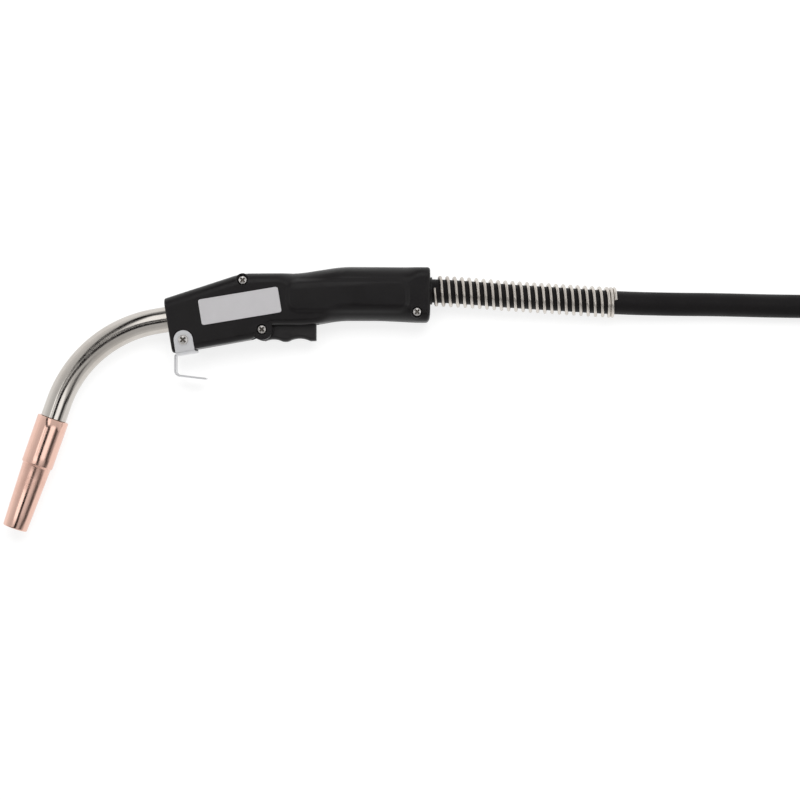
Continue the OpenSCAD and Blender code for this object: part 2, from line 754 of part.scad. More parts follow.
// The switch's front lower corner: a full squeeze stops just short of its rear end
switch_behind = 9.1;                           // from the pivot
switch_at = [pivot.x + switch_behind,
    trigger_top + (switch_behind + switch_l) * sin(trigger_travel) + 2 * seat_gap];
switch_h = 5.8;
plunger_w = 3;
plunger_t = 1.8;
plunger_x = switch_at.x + 12.2;
plunger_in = 3;
module switch_body() {
    color(switch_grey)
        difference() {
            union() {
                translate([switch_at.x, switch_at.y, mid_z - switch_t / 2])
                    cube([switch_l, switch_h, switch_t]);
                // ears that key it to the shells
                for (x = [switch_at.x + 2, switch_at.x + switch_l - 5])
                    translate([x, switch_at.y + switch_h - 3, shell_wall + seat_gap])
                        cube([3, 3, 2 * (mid_z - shell_wall - seat_gap)]);
            }
            translate([plunger_x - plunger_w / 2 - run_gap, switch_at.y - 1, mid_z - plunger_t / 2 - run_gap])
                cube([plunger_w + 2 * run_gap, plunger_in + 1 + 2.4, plunger_t + 2 * run_gap]);
        }
}
module switch_plunger() {
    color(brass)
        translate([plunger_x - plunger_w / 2, trigger_top + air_gap, mid_z - plunger_t / 2])
            cube([plunger_w, switch_at.y + plunger_in - trigger_top - air_gap, plunger_t]);
}
// From the top of the switch over the spring's seat to the cable: [x, y, side]
lead_line = [
    [-5, switch_at.y + switch_h + eps, 3.6], [-5, -15.2, 3.7], [-3.6, -14.2, 4.4], [-0.6, -13.5, 5.8],
    [5, -13.1, lead_side], concat(lead_from, lead_side), concat(lead_to, lead_side),
    [rear_x - 19, -8.8, 6.1], [rear_x - 15.2, -5.4, 5.1],
    [cable_x - 4, cable_y - 6.7, 4.7], [cable_x, cable_y - 6.7, 4.7]];
module switch_leads() {
    color(cable_black)
        for (s = [-1, 1]) {
            line = [for (p = lead_line) [p.x, p.y, mid_z + s * p.z]];
            loft(tube_rings(line, [for (p = line) [0, 0, 1]], lead_r, 8));
        }
}

// ---- neck ----
module tube_jacket() {
    color(nickel)
        neck_tube(jacket_r, jacket_r - jacket_wall, neck_straight + jacket_in, neck_end + jacket_stop);
}
module tube_insulation() {
    color(insulator_tan)
        neck_tube(insulation_r, insulation_r - insulation_wall,
            neck_straight + insulation_in, neck_end + insulation_stop);
}
module conductor_tube() {
    color(copper)
        long_neck_tube(conductor_r, bore_r, block_x + conductor_in, neck_end + conductor_stop);
}
module wire_liner() {
    color(steel)
        long_neck_tube(liner_r, liner_r - 1.1, cable_x, neck_end + diffuser_end - tip_thread - 1);
}

// ---- front end, modelled along +Z from the nozzle's rear rim ----
module on_nozzle_axis() {
    along(nozzle_seat, nozzle_dir)
        children();
}
module gas_diffuser() {
    color(brass)
        on_nozzle_axis()
            difference() {
                rotate_extrude()
                    polygon([
                        [bore_r, diffuser_start], [diffuser_r, diffuser_start], [diffuser_r, diffuser_neck],
                        [diffuser_nose_r, diffuser_neck + 2.4], [diffuser_nose_r, diffuser_end - 3],
                        [diffuser_nose_r - 1.4, diffuser_end], [tip_thread_r + seat_gap, diffuser_end],
                        [tip_thread_r + seat_gap, diffuser_end - tip_thread - 2],
                        [bore_r, diffuser_end - tip_thread - 2]]);
                translate([0, 0, diffuser_start - 1])
                    cylinder(r = conductor_r + run_gap, h = conductor_stop - diffuser_start + 1 + seat_gap);
                for (a = [0:60:359])
                    rotate([0, 0, a])
                        translate([0, 0, diffuser_neck + 5])
                            rotate([0, 90, 0])
                                cylinder(d = gas_port_d, h = 12);
            }
}
module nozzle_insulator() {
    color(insulator_tan)
        on_nozzle_axis()
            translate([0, 0, insulator_start])
                pipe(insulator_r, diffuser_r + seat_gap / 2, insulator_end - insulator_start);
}
sleeve_bore = insulator_r + run_gap;
gas_bore = 10;                                 // radius of the gas chamber round the diffuser
module nozzle() {
    color(copper)
        on_nozzle_axis()
            rotate_extrude()
                polygon([
                    [sleeve_bore, 0], [nozzle_d / 2 - 0.5, 0], [nozzle_d / 2, 0.5],
                    [nozzle_d / 2, nozzle_sleeve_l - 0.8], [nozzle_d / 2 - 0.8, nozzle_sleeve_l],
                    [nozzle_step_d / 2 + 0.3, nozzle_sleeve_l], [nozzle_step_d / 2, nozzle_sleeve_l + 1.2],
                    [mouth_d / 2, nozzle_l - 0.6], [mouth_d / 2 - 0.6, nozzle_l],
                    [mouth_bore / 2 + 0.4, nozzle_l], [mouth_bore / 2, nozzle_l - 0.4],
                    [mouth_bore / 2, diffuser_end + 5], [gas_bore, diffuser_end - 3],
                    [gas_bore, insulator_end + 2], [sleeve_bore, insulator_end + 1]]);
}
module contact_tip() {
    color(copper)
        on_nozzle_axis()
            difference() {
                rotate_extrude()
                    polygon([
                        [0, diffuser_end - tip_thread], [tip_thread_r, diffuser_end - tip_thread],
                        [tip_thread_r, diffuser_end + eps], [tip_d / 2, diffuser_end + eps],
                        [tip_d / 2, tip_end - 5], [tip_d / 2 - 1.3, tip_end],
                        [0, tip_end]]);
                translate([0, 0, diffuser_end - tip_thread - 1])
                    cylinder(d = wire_bore, h = tip_end);
                translate([0, 0, diffuser_end - tip_thread - 1])
                    cylinder(r = 1.5, h = 14);
                // spanner flats
                for (s = [-1, 1])
                    translate([s * (tip_d / 2 + 2.4), 0, diffuser_end + 4])
                        cube([6, 20, 5], center = true);
            }
}

// ---- power block in the grip ----
set_screw_x = [block_x + 4, block_x + 11];
module power_block() {
    color(brass)
        difference() {
            along([block_x, cable_y, mid_z], [1, 0, 0]) {
                pipe(block_r, bore_r, block_l);
                translate([0, 0, block_l - eps])
                    pipe(crimp_r, bore_r, crimp_l + eps);
            }
            along([block_x - 1, cable_y, mid_z], [1, 0, 0])
                cylinder(r = conductor_r + run_gap, h = conductor_in + 1 + seat_gap);
            for (x = set_screw_x)
                translate([x, cable_y, mid_z])
                    rotate([-90, 0, 0])
                        cylinder(d = 5.2, h = 20);
        }
}
module block_set_screws() {
    color(steel)
        for (x = set_screw_x)
            translate([x, cable_y + conductor_r + run_gap, mid_z])
                rotate([-90, 0, 0])
                    difference() {
                        cylinder(d = 5, h = 5);
                        translate([0, 0, 2.5])
                            hex(2.5, 4);
                    }
}

// ---- strain relief ----
ferrule_out = 1.8;                             // the ferrule shows this much behind the handle
ferrule_end = rear_x + ferrule_out;
module rear_ferrule() {
    color(grip_black)
        difference() {
            union() {
                along([flange_x, cable_y, mid_z], [1, 0, 0])
                    cylinder(d = flange_d, h = flange_t);
                along([flange_x, cable_y, mid_z], [1, 0, 0])
                    cylinder(d = ferrule_d, h = ferrule_end - flange_x);
            }
            along([flange_x - 1, cable_y, mid_z], [1, 0, 0])
                cylinder(d = cable_d + 2 * air_gap, h = ferrule_end - flange_x + 2);
        }
}

// ---- cable: its route is a list of places, its coil a formula ----
cable_r = cable_d / 2;
coil_centre = [543, -133.5];
coil_r = 123.5;                                  // radius of the outermost loop
coil_step = 20.8;                              // from one loop to the next, inwards
coil_rise = 19.8;                              // from the lower layer to the upper
coil_in = 2.25;                                // loops of the lower layer, wound inwards
coil_out = 1.75;                                // loops of the upper layer, wound outwards
coil_climb = 0.5;                              // the climb takes this share of a loop
run_points = [
    [108, 2.5, 18], [130, 1.5, 17.5], [170, -1.5, 16], [210, -4, 14.7], [262, -7, 13.2],
    [300, -8, 11.3], [345, -8.5, 9.7], [390, -9.5, 9.6], [435, -10, 9.6], [480, -10, 9.6]];
run_start = [cable_x, cable_y, mid_z];
run_end = [coil_centre.x - cable_d, coil_centre.y + coil_r, cable_r];
route = concat([run_start], run_points, [run_end]);
module cable_run() {
    color(cable_black)
        loft(tube_rings(route, [for (p = route) [0, 0, 1]], cable_r, 12));
}
function coil_loop_r(t) = t < coil_in ? coil_r - coil_step * t
    : coil_r - coil_step * coil_in + coil_step * (t - coil_in);
function coil_point(t) = [
    coil_centre.x + coil_loop_r(t) * sin(360 * t),
    coil_centre.y + coil_loop_r(t) * cos(360 * t),
    cable_r + coil_rise * ease((t - coil_in + coil_climb / 2) / coil_climb)];
coil_turn_count = coil_in + coil_out;
coil_line = concat(
    [coil_point(0) - [cable_d, 0, 0]],
    [for (i = [0:24 * coil_turn_count]) coil_point(i / 24)],
    [coil_point(coil_turn_count) + [cable_d, 0, 0]]);
echo(coil_least_gap = least_gap(coil_line, 12, cable_d));
module cable_coil() {
    color(cable_black)
        loft(tube_rings(coil_line, [for (p = coil_line) [0, 0, 1]], cable_r, 6));
}
coil_end = coil_point(coil_turn_count) + [cable_d, 0, 0];
// The tail crosses the coil's lower layer and sinks to the height of the connector's axis
connector_at = [642, -20, ring_d / 2 + 0.02];  // rear end of the boot
boot_in = 44;                                  // the cable reaches this far into the boot
tail_points = [[571, -20.4, 29.4], [590, -20.4, 29.2], [606, -20.2, 28], [624, -20, 24.4]];
tail = concat([coil_end], tail_points, [connector_at, connector_at + [boot_in, 0, 0]]);
module cable_tail() {
    color(cable_black)
        loft(tube_rings(tail, [for (p = tail) [0, 0, 1]], cable_r, 12));
}

// ---- strain spring: a helix round the cable ----
// Its axis follows the cable's route.
function route_at(x) = let (i = [for (k = [0:len(route) - 2]) if (route[k].x <= x) k][
        len([for (k = [0:len(route) - 2]) if (route[k].x <= x) k]) - 1])
    lerp(route[i], route[i + 1], (x - route[i].x) / (route[i + 1].x - route[i].x));
spring_rings = 8;                              // rings of each curl
ring_angle = 360 / spring_rings;
// The helix is drawn round the outside of its circle, so that its flats clear the cable
helix_r = (cable_r + air_gap + spring_wire / 2 * cos(30)) / cos(180 / spring_rings);
spring_bend = 2;                               // the first wire turns from along the cable to round it
closed_pitch = spring_wire + 0.35;
spring_turns = spring_open + spring_closed;
function spring_x(turn) = spring_pitch * min(turn, spring_open) + closed_pitch * max(turn - spring_open, 0);
lead_arc = spring_bend / helix_r * 180 / PI;
// [distance along the cable, angle round it] of each ring
spring_path = concat(
    [[0, 0], [spring_wire, 0]],
    [for (a = [35, 65]) [spring_wire + spring_bend * sin(a), lead_arc * (1 - cos(a))]],
    [for (i = [1:spring_rings * spring_turns]) let (turn = i / spring_rings)
        [spring_wire + spring_bend + spring_x(turn), lead_arc + 360 * turn - ring_angle / 2]]);
spring_line = [for (s = spring_path) let (c = route_at(ferrule_end + s[0]))
    c + helix_r * [0, cos(s[1]), sin(s[1])]];
spring_out = [for (s = spring_path) [0, cos(s[1]), sin(s[1])]];
echo(spring_least_gap = least_gap(spring_line, spring_rings - 2, spring_wire));
module strain_spring() {
    color(steel)
        loft(tube_rings(spring_line, spring_out, spring_wire / 2, 6));
}

// ---- machine connector, modelled along +Z from the boot's rear end ----
module on_connector() {
    along(connector_at, [1, 0, 0])
        children();
}
boot_l = 60;
boot_tip_r = 12.6;
boot_r = 14;
housing_start = 46;
housing_end = housing_start + housing_l;
body_r = 13;
nut_seat_r = 18;
nut_rim_r = 19.3;
nut_rim_t = 4;
ring_start = housing_end - 14;
front_face = housing_end + 4;                  // front plate of the brass body
pin_circle = 10.5;
contact_r = 1.6;
contact_out = 9;
contact_in = 14;
contact_bore_l = contact_in + contact_travel + 7;
bush_r = 3;
bush_l = 3.9;
body_flange_r = 16.5;
housing_tip_r = 15.8;
grip_r = 20.4;                                 // the housing's grip, which the finger flats cut into
flat_r = 2.2;
pin_bore_r = 1.7;
nut_neck = [2.5, 5];                           // radius and length of the liner nut's threaded end
wire_inlet_r = 1.2;
module connector_boot() {
    color(grip_black)
        on_connector()
            difference() {
                union() {
                    cylinder(r1 = boot_tip_r, r2 = boot_r, h = housing_start - 2);
                    translate([0, 0, housing_start - 2])
                        cylinder(r = boot_r, h = boot_l - housing_start + 2);
                }
                translate([0, 0, -1])
                    cylinder(d = cable_d + 2 * air_gap, h = boot_in + 1);
                for (z = [6:6:36])
                    translate([0, 0, z])
                        rotate_extrude()
                            translate([boot_tip_r + 0.6 + z * 0.03, 0])
                                circle(r = 1.3, $fn = 24);
            }
}
module connector_housing() {
    color(grip_black)
        on_connector()
            difference() {
                rotate_extrude()
                    polygon([
                        [body_r + seat_gap / 2, housing_start], [housing_tip_r, housing_start],
                        [housing_tip_r + 1, housing_start + 3],
                        [grip_r, housing_start + 22], [grip_r, ring_start - 4], [nut_seat_r, ring_start - 1],
                        [nut_seat_r, housing_end - nut_rim_t], [nut_rim_r, housing_end - nut_rim_t],
                        [nut_rim_r, housing_end], [body_r + seat_gap / 2, housing_end]]);
                translate([0, 0, housing_start - 1])
                    cylinder(r = boot_r + seat_gap / 2, h = boot_l - housing_start + 1 + seat_gap);
                // finger flats of the grip
                for (a = [0:30:359])
                    rotate([0, 0, a])
                        translate([grip_r + flat_r - 1, 0, housing_start + 26])
                            cylinder(r = flat_r, h = ring_start - housing_start - 34, $fn = 24);
                for (s = [-1, 1])
                    translate([0, 0, housing_start + 21])
                        rotate([0, s * 90, 0])
                            translate([0, 0, 5])
                                cylinder(d = 3.3, h = 20);
            }
}
module housing_screws() {
    color(zinc)
        on_connector()
            for (s = [-1, 1])
                translate([0, 0, housing_start + 21])
                    rotate([0, s * 90, 0])
                        translate([0, 0, body_r + seat_gap])
                            cylinder(d = 3, h = 6);
}
module connector_body() {
    color(brass)
        on_connector()
            difference() {
                union() {
                    translate([0, 0, boot_l + seat_gap])
                        cylinder(r = body_r, h = front_face - boot_l - seat_gap);
                    translate([0, 0, housing_end])
                        cylinder(r = body_flange_r, h = front_face - housing_end);
                }
                translate([0, 0, boot_l - 1])
                    cylinder(r = bore_r, h = front_face);
                for (s = [-1, 1])
                    translate([s * pin_circle, 0, front_face - contact_bore_l]) {
                        cylinder(r = contact_r + 0.6, h = contact_bore_l + 1);
                        translate([0, 0, contact_bore_l - bush_l - eps])
                            cylinder(r = bush_r + run_gap, h = bush_l + 1);
                    }
                rotate([0, 0, 90])
                    translate([pin_circle, 0, front_face - 8])
                        cylinder(r = nipple_r - 0.9 + run_gap, h = 9);
            }
}
module current_pin() {
    color(brass)
        on_connector()
            translate([0, 0, front_face])
                difference() {
                    union() {
                        cylinder(d = pin_d, h = pin_l - 0.8);
                        translate([0, 0, pin_l - 0.8])
                            cylinder(d1 = pin_d, d2 = pin_d - 1.6, h = 0.8);
                        translate([0, 0, -8])
                            cylinder(r = bore_r - run_gap, h = 8 + eps);
                    }
                    translate([0, 0, -9])
                        cylinder(r = pin_bore_r, h = pin_l + 10);
                    translate([0, 0, pin_l - nut_neck[1]])
                        cylinder(r = nut_neck[0] + seat_gap, h = nut_neck[1] + 1);
                }
}
module liner_nut() {
    color(steel)
        on_connector()
            translate([0, 0, front_face + pin_l - nut_neck[1] + seat_gap])
                difference() {
                    union() {
                        cylinder(r = nut_neck[0], h = nut_neck[1]);
                        translate([0, 0, nut_neck[1] - seat_gap])
                            hex(6.2, 2.6);
                    }
                    translate([0, 0, -1])
                        cylinder(r = wire_inlet_r, h = 12);
                }
}
nipple_r = 2.6;
nipple_l = 14;
ring_groove = 8;
module on_nipple() {
    on_connector()
        rotate([0, 0, 90])
            translate([pin_circle, 0, front_face])
                children();
}
module gas_nipple() {
    color(brass)
        on_nipple()
            difference() {
                union() {
                    cylinder(r = nipple_r, h = nipple_l - 0.6);
                    translate([0, 0, nipple_l - 0.6])
                        cylinder(r1 = nipple_r, r2 = nipple_r - 0.5, h = 0.6);
                    translate([0, 0, -7.5])
                        cylinder(r = nipple_r - 0.9, h = 8);
                }
                translate([0, 0, -8])
                    cylinder(r = 1, h = nipple_l + 10);
                translate([0, 0, ring_groove])
                    pipe(nipple_r + 1, nipple_r - 0.6, 1.6);
            }
}
module nipple_o_ring() {
    color(cable_black)
        on_nipple()
            translate([0, 0, ring_groove + 0.8])
                rotate_extrude()
                    translate([nipple_r + 0.1, 0])
                        circle(r = 0.65, $fn = 24);
}
module pin_bushes() {
    color(insulator_tan)
        on_connector()
            for (s = [-1, 1])
                translate([s * pin_circle, 0, front_face - bush_l])
                    pipe(bush_r, contact_r + run_gap, bush_l);
}
module contact_pin(s) {
    color(brass)
        on_connector()
            translate([s * pin_circle, 0, front_face - contact_in]) {
                cylinder(r = contact_r, h = contact_in + contact_out - 0.8);
                translate([0, 0, contact_in + contact_out - 0.8])
                    cylinder(r1 = contact_r, r2 = contact_r - 0.7, h = 0.8);
            }
}
module contact_pin_a() { contact_pin(-1); }
module contact_pin_b() { contact_pin(1); }
module contact_spring(s) {
    color(steel)
        on_connector()
            translate([s * pin_circle, 0, front_face - contact_bore_l + seat_gap])
                pipe(contact_r + 0.3, contact_r - 0.4, contact_bore_l - contact_in - 2 * seat_gap);
}
module contact_spring_a() { contact_spring(-1); }
module contact_spring_b() { contact_spring(1); }
module ring_nut() {
    rib_count = 24;
    rib_r = 1.4;
    rib_short = 10;                                // the ribs stop short of both rims
    color(grip_black)
        on_connector()
            translate([0, 0, ring_start])
                difference() {
                    union() {
                        cylinder(r1 = ring_d / 2 - 2, r2 = ring_d / 2 - 1, h = 2);
                        translate([0, 0, 2])
                            cylinder(r = ring_d / 2 - 1, h = ring_l - 2);
                        for (i = [0:rib_count - 1])
                            rotate([0, 0, 360 * i / rib_count])
                                translate([ring_d / 2 - rib_r, 0, 4])
                                    cylinder(r = rib_r, h = ring_l - rib_short, $fn = 16);
                    }
                    translate([0, 0, -1])
                        cylinder(r = nut_seat_r + run_gap, h = ring_l + 2);
                    translate([0, 0, housing_end - nut_rim_t - ring_start - seat_gap])
                        cylinder(r = nut_rim_r + air_gap, h = ring_l);
                }
}

handle_left();
handle_right();
name_plate();
handle_screws();
handle_nuts();
hanger_hook();
hook_screw();
hook_nut();
trigger();
trigger_bush();
trigger_spring();
switch_body();
switch_plunger();
switch_leads();
tube_jacket();
tube_insulation();
conductor_tube();
wire_liner();
gas_diffuser();
nozzle_insulator();
nozzle();
contact_tip();
power_block();
block_set_screws();
rear_ferrule();
strain_spring();
cable_run();
cable_coil();
cable_tail();
connector_boot();
connector_housing();
housing_screws();
connector_body();
current_pin();
liner_nut();
gas_nipple();
nipple_o_ring();
pin_bushes();
contact_pin_a();
contact_pin_b();
contact_spring_a();
contact_spring_b();
ring_nut();
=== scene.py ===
# %% [markdown]
# # A MIG welding torch
# The torch lies on its side on a white table. It has a black moulded handle in two halves, a plated
# swan neck with a copper nozzle, a squeeze trigger, a sheet-metal hook to hang it by, and a thick
# rubber cable with a spring round its first stretch. The cable is coiled up beyond the right edge of
# the view and ends in the connector that plugs into the machine.
#
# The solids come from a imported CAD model, which stays as it is. Here each piece gets its finish, and
# the pieces whose shape is softer or rounder than a solid's facets are modelled again in its place.

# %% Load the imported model
import json
import math

import bmesh
import bpy
from mathutils import Matrix, Vector


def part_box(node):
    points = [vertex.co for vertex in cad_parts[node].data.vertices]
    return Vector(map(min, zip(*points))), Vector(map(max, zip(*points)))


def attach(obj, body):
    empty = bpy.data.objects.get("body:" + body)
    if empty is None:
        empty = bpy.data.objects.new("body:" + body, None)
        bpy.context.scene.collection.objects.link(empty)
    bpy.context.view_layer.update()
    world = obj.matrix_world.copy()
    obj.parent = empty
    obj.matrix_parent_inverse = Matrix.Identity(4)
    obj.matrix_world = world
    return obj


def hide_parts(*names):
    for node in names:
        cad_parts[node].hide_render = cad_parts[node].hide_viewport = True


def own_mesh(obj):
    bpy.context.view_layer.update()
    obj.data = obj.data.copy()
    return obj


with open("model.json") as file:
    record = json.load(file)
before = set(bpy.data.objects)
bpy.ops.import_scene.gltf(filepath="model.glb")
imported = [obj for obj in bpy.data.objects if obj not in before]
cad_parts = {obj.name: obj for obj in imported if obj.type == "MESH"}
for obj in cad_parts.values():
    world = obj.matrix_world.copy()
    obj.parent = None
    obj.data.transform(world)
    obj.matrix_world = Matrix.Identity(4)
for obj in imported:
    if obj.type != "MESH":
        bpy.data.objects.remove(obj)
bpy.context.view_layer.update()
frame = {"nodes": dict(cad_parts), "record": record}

MM = 0.001


def mm(*values):
    """A point given in millimetres, as a vector in metres."""
    return Vector(values) * MM


# %% [markdown]
# ## The camera
# It looks straight down from just under two metres with a long lens, so the torch shows hardly any
# perspective. A camera that isn't turned looks along -Z with +Y up, which is all this view needs.

# %% Camera
VIEW_CENTRE, CAMERA_HEIGHT = (82, -86.9), 1840     # millimetres
camera_data = bpy.data.cameras.new("camera")
camera_data.lens = 100
camera_data.sensor_width = 36
camera = bpy.data.objects.new("camera", camera_data)
camera.location = mm(*VIEW_CENTRE, CAMERA_HEIGHT)
bpy.context.scene.collection.objects.link(camera)
bpy.context.scene.camera = camera
print("camera height:", round(camera.location.z, 3), "m")

# %% [markdown]
# ## The cable's route
# A welding cable is 3.05 m (10 feet) of rubber hose full of copper strands. It leaves the handle at
# grip height, sinks to the table over its first 30 cm, and runs straight on to a coil in two layers:
# the lower one is wound inwards, the upper one outwards. A last short tail crosses the lower layer and
# enters the connector. The route is a list of places for the free stretches, and a formula for the
# loops.

# %% Route of the cable
CABLE_D = 19.2                 # all lengths of the route are in millimetres
MID_Z = 18                     # how far up the handle's halves meet, and the cable's middle starts
RUN = [
    (98.2, 2.5, MID_Z), (108, 2.5, MID_Z), (130, 1.5, 17.5), (170, -1.5, 16), (210, -4, 14.7),
    (262, -7, 13.2), (300, -8, 11.3), (345, -8.5, 9.7), (390, -9.5, 9.6), (435, -10, 9.6), (480, -10, 9.6)]
COIL_CENTRE = (543, -133.5)
COIL_R, COIL_STEP, COIL_RISE = 123.5, 20.8, 19.8
LOOPS_IN, LOOPS_OUT, CLIMB = 2.25, 1.75, 0.5       # the climb to the upper layer takes half a loop
PLACES_PER_LOOP = 24
TAIL = [
    (571, -20.4, 29.4), (590, -20.4, 29.2), (606, -20.2, 28), (624, -20, 24.4), (642, -20, 22.52),
    (664, -20, 22.52), (686, -20, 22.52)]


def ease(t):
    """Rises smoothly from 0 to 1, and is level at both ends."""
    t = min(max(t, 0), 1)
    return t * t * (3 - 2 * t)


def coil_place(turn):
    """Where the cable's middle lies after so many loops of the coil."""
    if turn < LOOPS_IN:
        radius = COIL_R - COIL_STEP * turn
    else:
        radius = COIL_R - COIL_STEP * LOOPS_IN + COIL_STEP * (turn - LOOPS_IN)
    angle = math.tau * turn
    height = CABLE_D / 2 + COIL_RISE * ease((turn - LOOPS_IN + CLIMB / 2) / CLIMB)
    return (COIL_CENTRE[0] + radius * math.sin(angle), COIL_CENTRE[1] + radius * math.cos(angle), height)


start_x, start_y, start_z = coil_place(0)
end_x, end_y, end_z = coil_place(LOOPS_IN + LOOPS_OUT)
last_place = int(PLACES_PER_LOOP * (LOOPS_IN + LOOPS_OUT))
loops = [coil_place(place / PLACES_PER_LOOP) for place in range(last_place + 1)]
before = [(start_x - CABLE_D, start_y, start_z)]
after = [(end_x + CABLE_D, end_y, end_z)]
route = [mm(*place) for place in RUN + before + loops + after + TAIL]
print("places on the route:", len(route))

# %% [markdown]
# A Bezier curve with automatic handles passes through every place without a kink. Left without a
# bevel it gives its own middle line, and with a round bevel it gives the hose. Both are read off as
# meshes, because a mesh knows exactly how much room it takes.

# %% Curves as meshes
def smooth_curve(name, places, steps=8):
    """A curve through places, which is drawn in so many steps from one place to the next."""
    curve = bpy.data.curves.new(name, "CURVE")
    curve.dimensions = "3D"
    curve.resolution_u = steps
    curve.use_fill_caps = True
    line = curve.splines.new("BEZIER")
    line.bezier_points.add(len(places) - 1)
    for knot, place in zip(line.bezier_points, places):
        knot.co = place
        knot.handle_left_type = knot.handle_right_type = "AUTO"
    return curve


def mesh_of_curve(curve, radius, roundness=0):
    """The mesh of a curve with a round bevel, or of its bare line where the radius is 0."""
    curve.bevel_depth, curve.bevel_resolution = radius, roundness
    carrier = bpy.data.objects.new(curve.name, curve)
    mesh = bpy.data.meshes.new_from_object(carrier)
    bpy.data.objects.remove(carrier)
    mesh.name = curve.name
    return mesh


# %% [markdown]
# ## The cable
# On the real torch the run, the coil and the tail are one hose, so one mesh takes the place of three
# solids. Its middle line is kept, because the spring is wound round it, and its length is added up.

# %% Cable
cable_curve = smooth_curve("cable", route)
cable_middle = [vertex.co.copy() for vertex in mesh_of_curve(cable_curve, 0).vertices]
cable_mesh = mesh_of_curve(cable_curve, CABLE_D / 2 * MM, roundness=10)
cable_mesh.shade_smooth()
cable = bpy.data.objects.new("cable", cable_mesh)
bpy.context.scene.collection.objects.link(cable)
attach(cable, "torch")
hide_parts("cable_run", "cable_coil", "cable_tail")
cable_length = sum((b - a).length for a, b in zip(cable_middle, cable_middle[1:]))
print("cable length:", round(cable_length, 3), "m, faces:", len(cable_mesh.polygons))

# %% [markdown]
# ## A palette of small helpers for materials
# Every finish below is built from the same few moves: add a node, set its values, feed it from other
# nodes. `add` does this in one call. A value that is a socket is linked, and any other is set. Where
# a node's sockets share one name, as on a Math node, `i0` and `i1` stand for their places.

# %% Node helpers
def srgb(red, green, blue):
    """A colour as it is seen, in steps of 0 to 255, as the linear colour that shaders use."""
    def linear(step):
        share = step / 255
        return share / 12.92 if share <= 0.04045 else ((share + 0.055) / 1.055) ** 2.4
    return (linear(red), linear(green), linear(blue), 1)


def feed(tree, socket, value):
    """Links a socket to another, or sets its value."""
    if isinstance(value, bpy.types.NodeSocket):
        tree.links.new(value, socket)
    else:
        socket.default_value = value


def add(tree, kind, settings=None, **inputs):
    """Adds a node. Settings are the node's own choices, inputs its sockets (spaces as underscores)."""
    made = tree.nodes.new("ShaderNode" + kind)
    for name, value in (settings or {}).items():
        setattr(made, name, value)
    for name, value in inputs.items():
        key = int(name[1:]) if name[0] == "i" and name[1:].isdigit() else name.replace("_", " ")
        feed(tree, made.inputs[key], value)
    return made


def maths(tree, operation, *values):
    """One sum on masks: its inputs are numbers or sockets."""
    inputs = {f"i{index}": value for index, value in enumerate(values)}
    return add(tree, "Math", {"operation": operation}, **inputs).outputs[0]


def vector_maths(tree, operation, *values, out="Vector", **others):
    """One sum on vectors, which gives a vector, or a number where out is Value."""
    inputs = {f"i{index}": value for index, value in enumerate(values)}
    return add(tree, "VectorMath", {"operation": operation}, **inputs, **others).outputs[out]


def between(tree, value, low, high, to_low=0.0, to_high=1.0):
    """Maps low..high smoothly to to_low..to_high, and holds the ends."""
    made = add(
        tree, "MapRange", {"interpolation_type": "SMOOTHSTEP"}, Value=value, From_Min=low, From_Max=high,
        To_Min=to_low, To_Max=to_high)
    return made.outputs[0]


def mixed(tree, share, first, second):
    """A colour between two colours. On a Mix node, sockets 0, 6 and 7 are the colour mode's own."""
    made = add(tree, "Mix", {"data_type": "RGBA"}, i0=share, i6=first, i7=second)
    return made.outputs[2]


def node_group(name, inputs, outputs):
    """An empty shader group with named sockets, and its own input and output nodes."""
    tree = bpy.data.node_groups.new(name, "ShaderNodeTree")
    for label, kind, value in inputs:
        socket = tree.interface.new_socket(label, in_out="INPUT", socket_type="NodeSocket" + kind)
        if value is not None:
            socket.default_value = value
    for label, kind in outputs:
        tree.interface.new_socket(label, in_out="OUTPUT", socket_type="NodeSocket" + kind)
    return tree, tree.nodes.new("NodeGroupInput").outputs, tree.nodes.new("NodeGroupOutput").inputs


# %% [markdown]
# ## Effects shared by many finishes
# Three effects return in many finishes. **Texture** is the fine grain that a spark-eroded mould leaves
# on all it makes. **Wear** finds edges that rub bright, from the surface's own pointiness broken up by
# noise. **Handling** is the large soft cloud of smudges and dust that a used tool carries. A noise's
# scale counts its waves per metre, so 28 gives clouds a few centimetres wide, and 900 gives chips of
# about a millimetre.

# %% Shared effects
texture_group, given, out = node_group(
    "moulded texture", [("Size", "Float", 0.0004), ("Vector", "Vector", None)], [("Height", "Float")])
grain_scale = maths(texture_group, "DIVIDE", 1, given["Size"])
grain = add(
    texture_group, "TexNoise", Vector=given["Vector"], Scale=grain_scale, Detail=3, Roughness=0.6)
texture_group.links.new(grain.outputs["Fac"], out["Height"])

wear_group, given, out = node_group(
    "edge wear", [("Amount", "Float", 0.5), ("Vector", "Vector", None)], [("Mask", "Float")])
edge = between(wear_group, add(wear_group, "NewGeometry").outputs["Pointiness"], 0.52, 0.6)
chips = add(wear_group, "TexNoise", Vector=given["Vector"], Scale=900, Detail=5, Roughness=0.7)
broken = between(wear_group, chips.outputs["Fac"], 0.4, 0.62)
worn = maths(wear_group, "MULTIPLY", maths(wear_group, "MULTIPLY", edge, broken), given["Amount"])
wear_group.links.new(worn, out["Mask"])

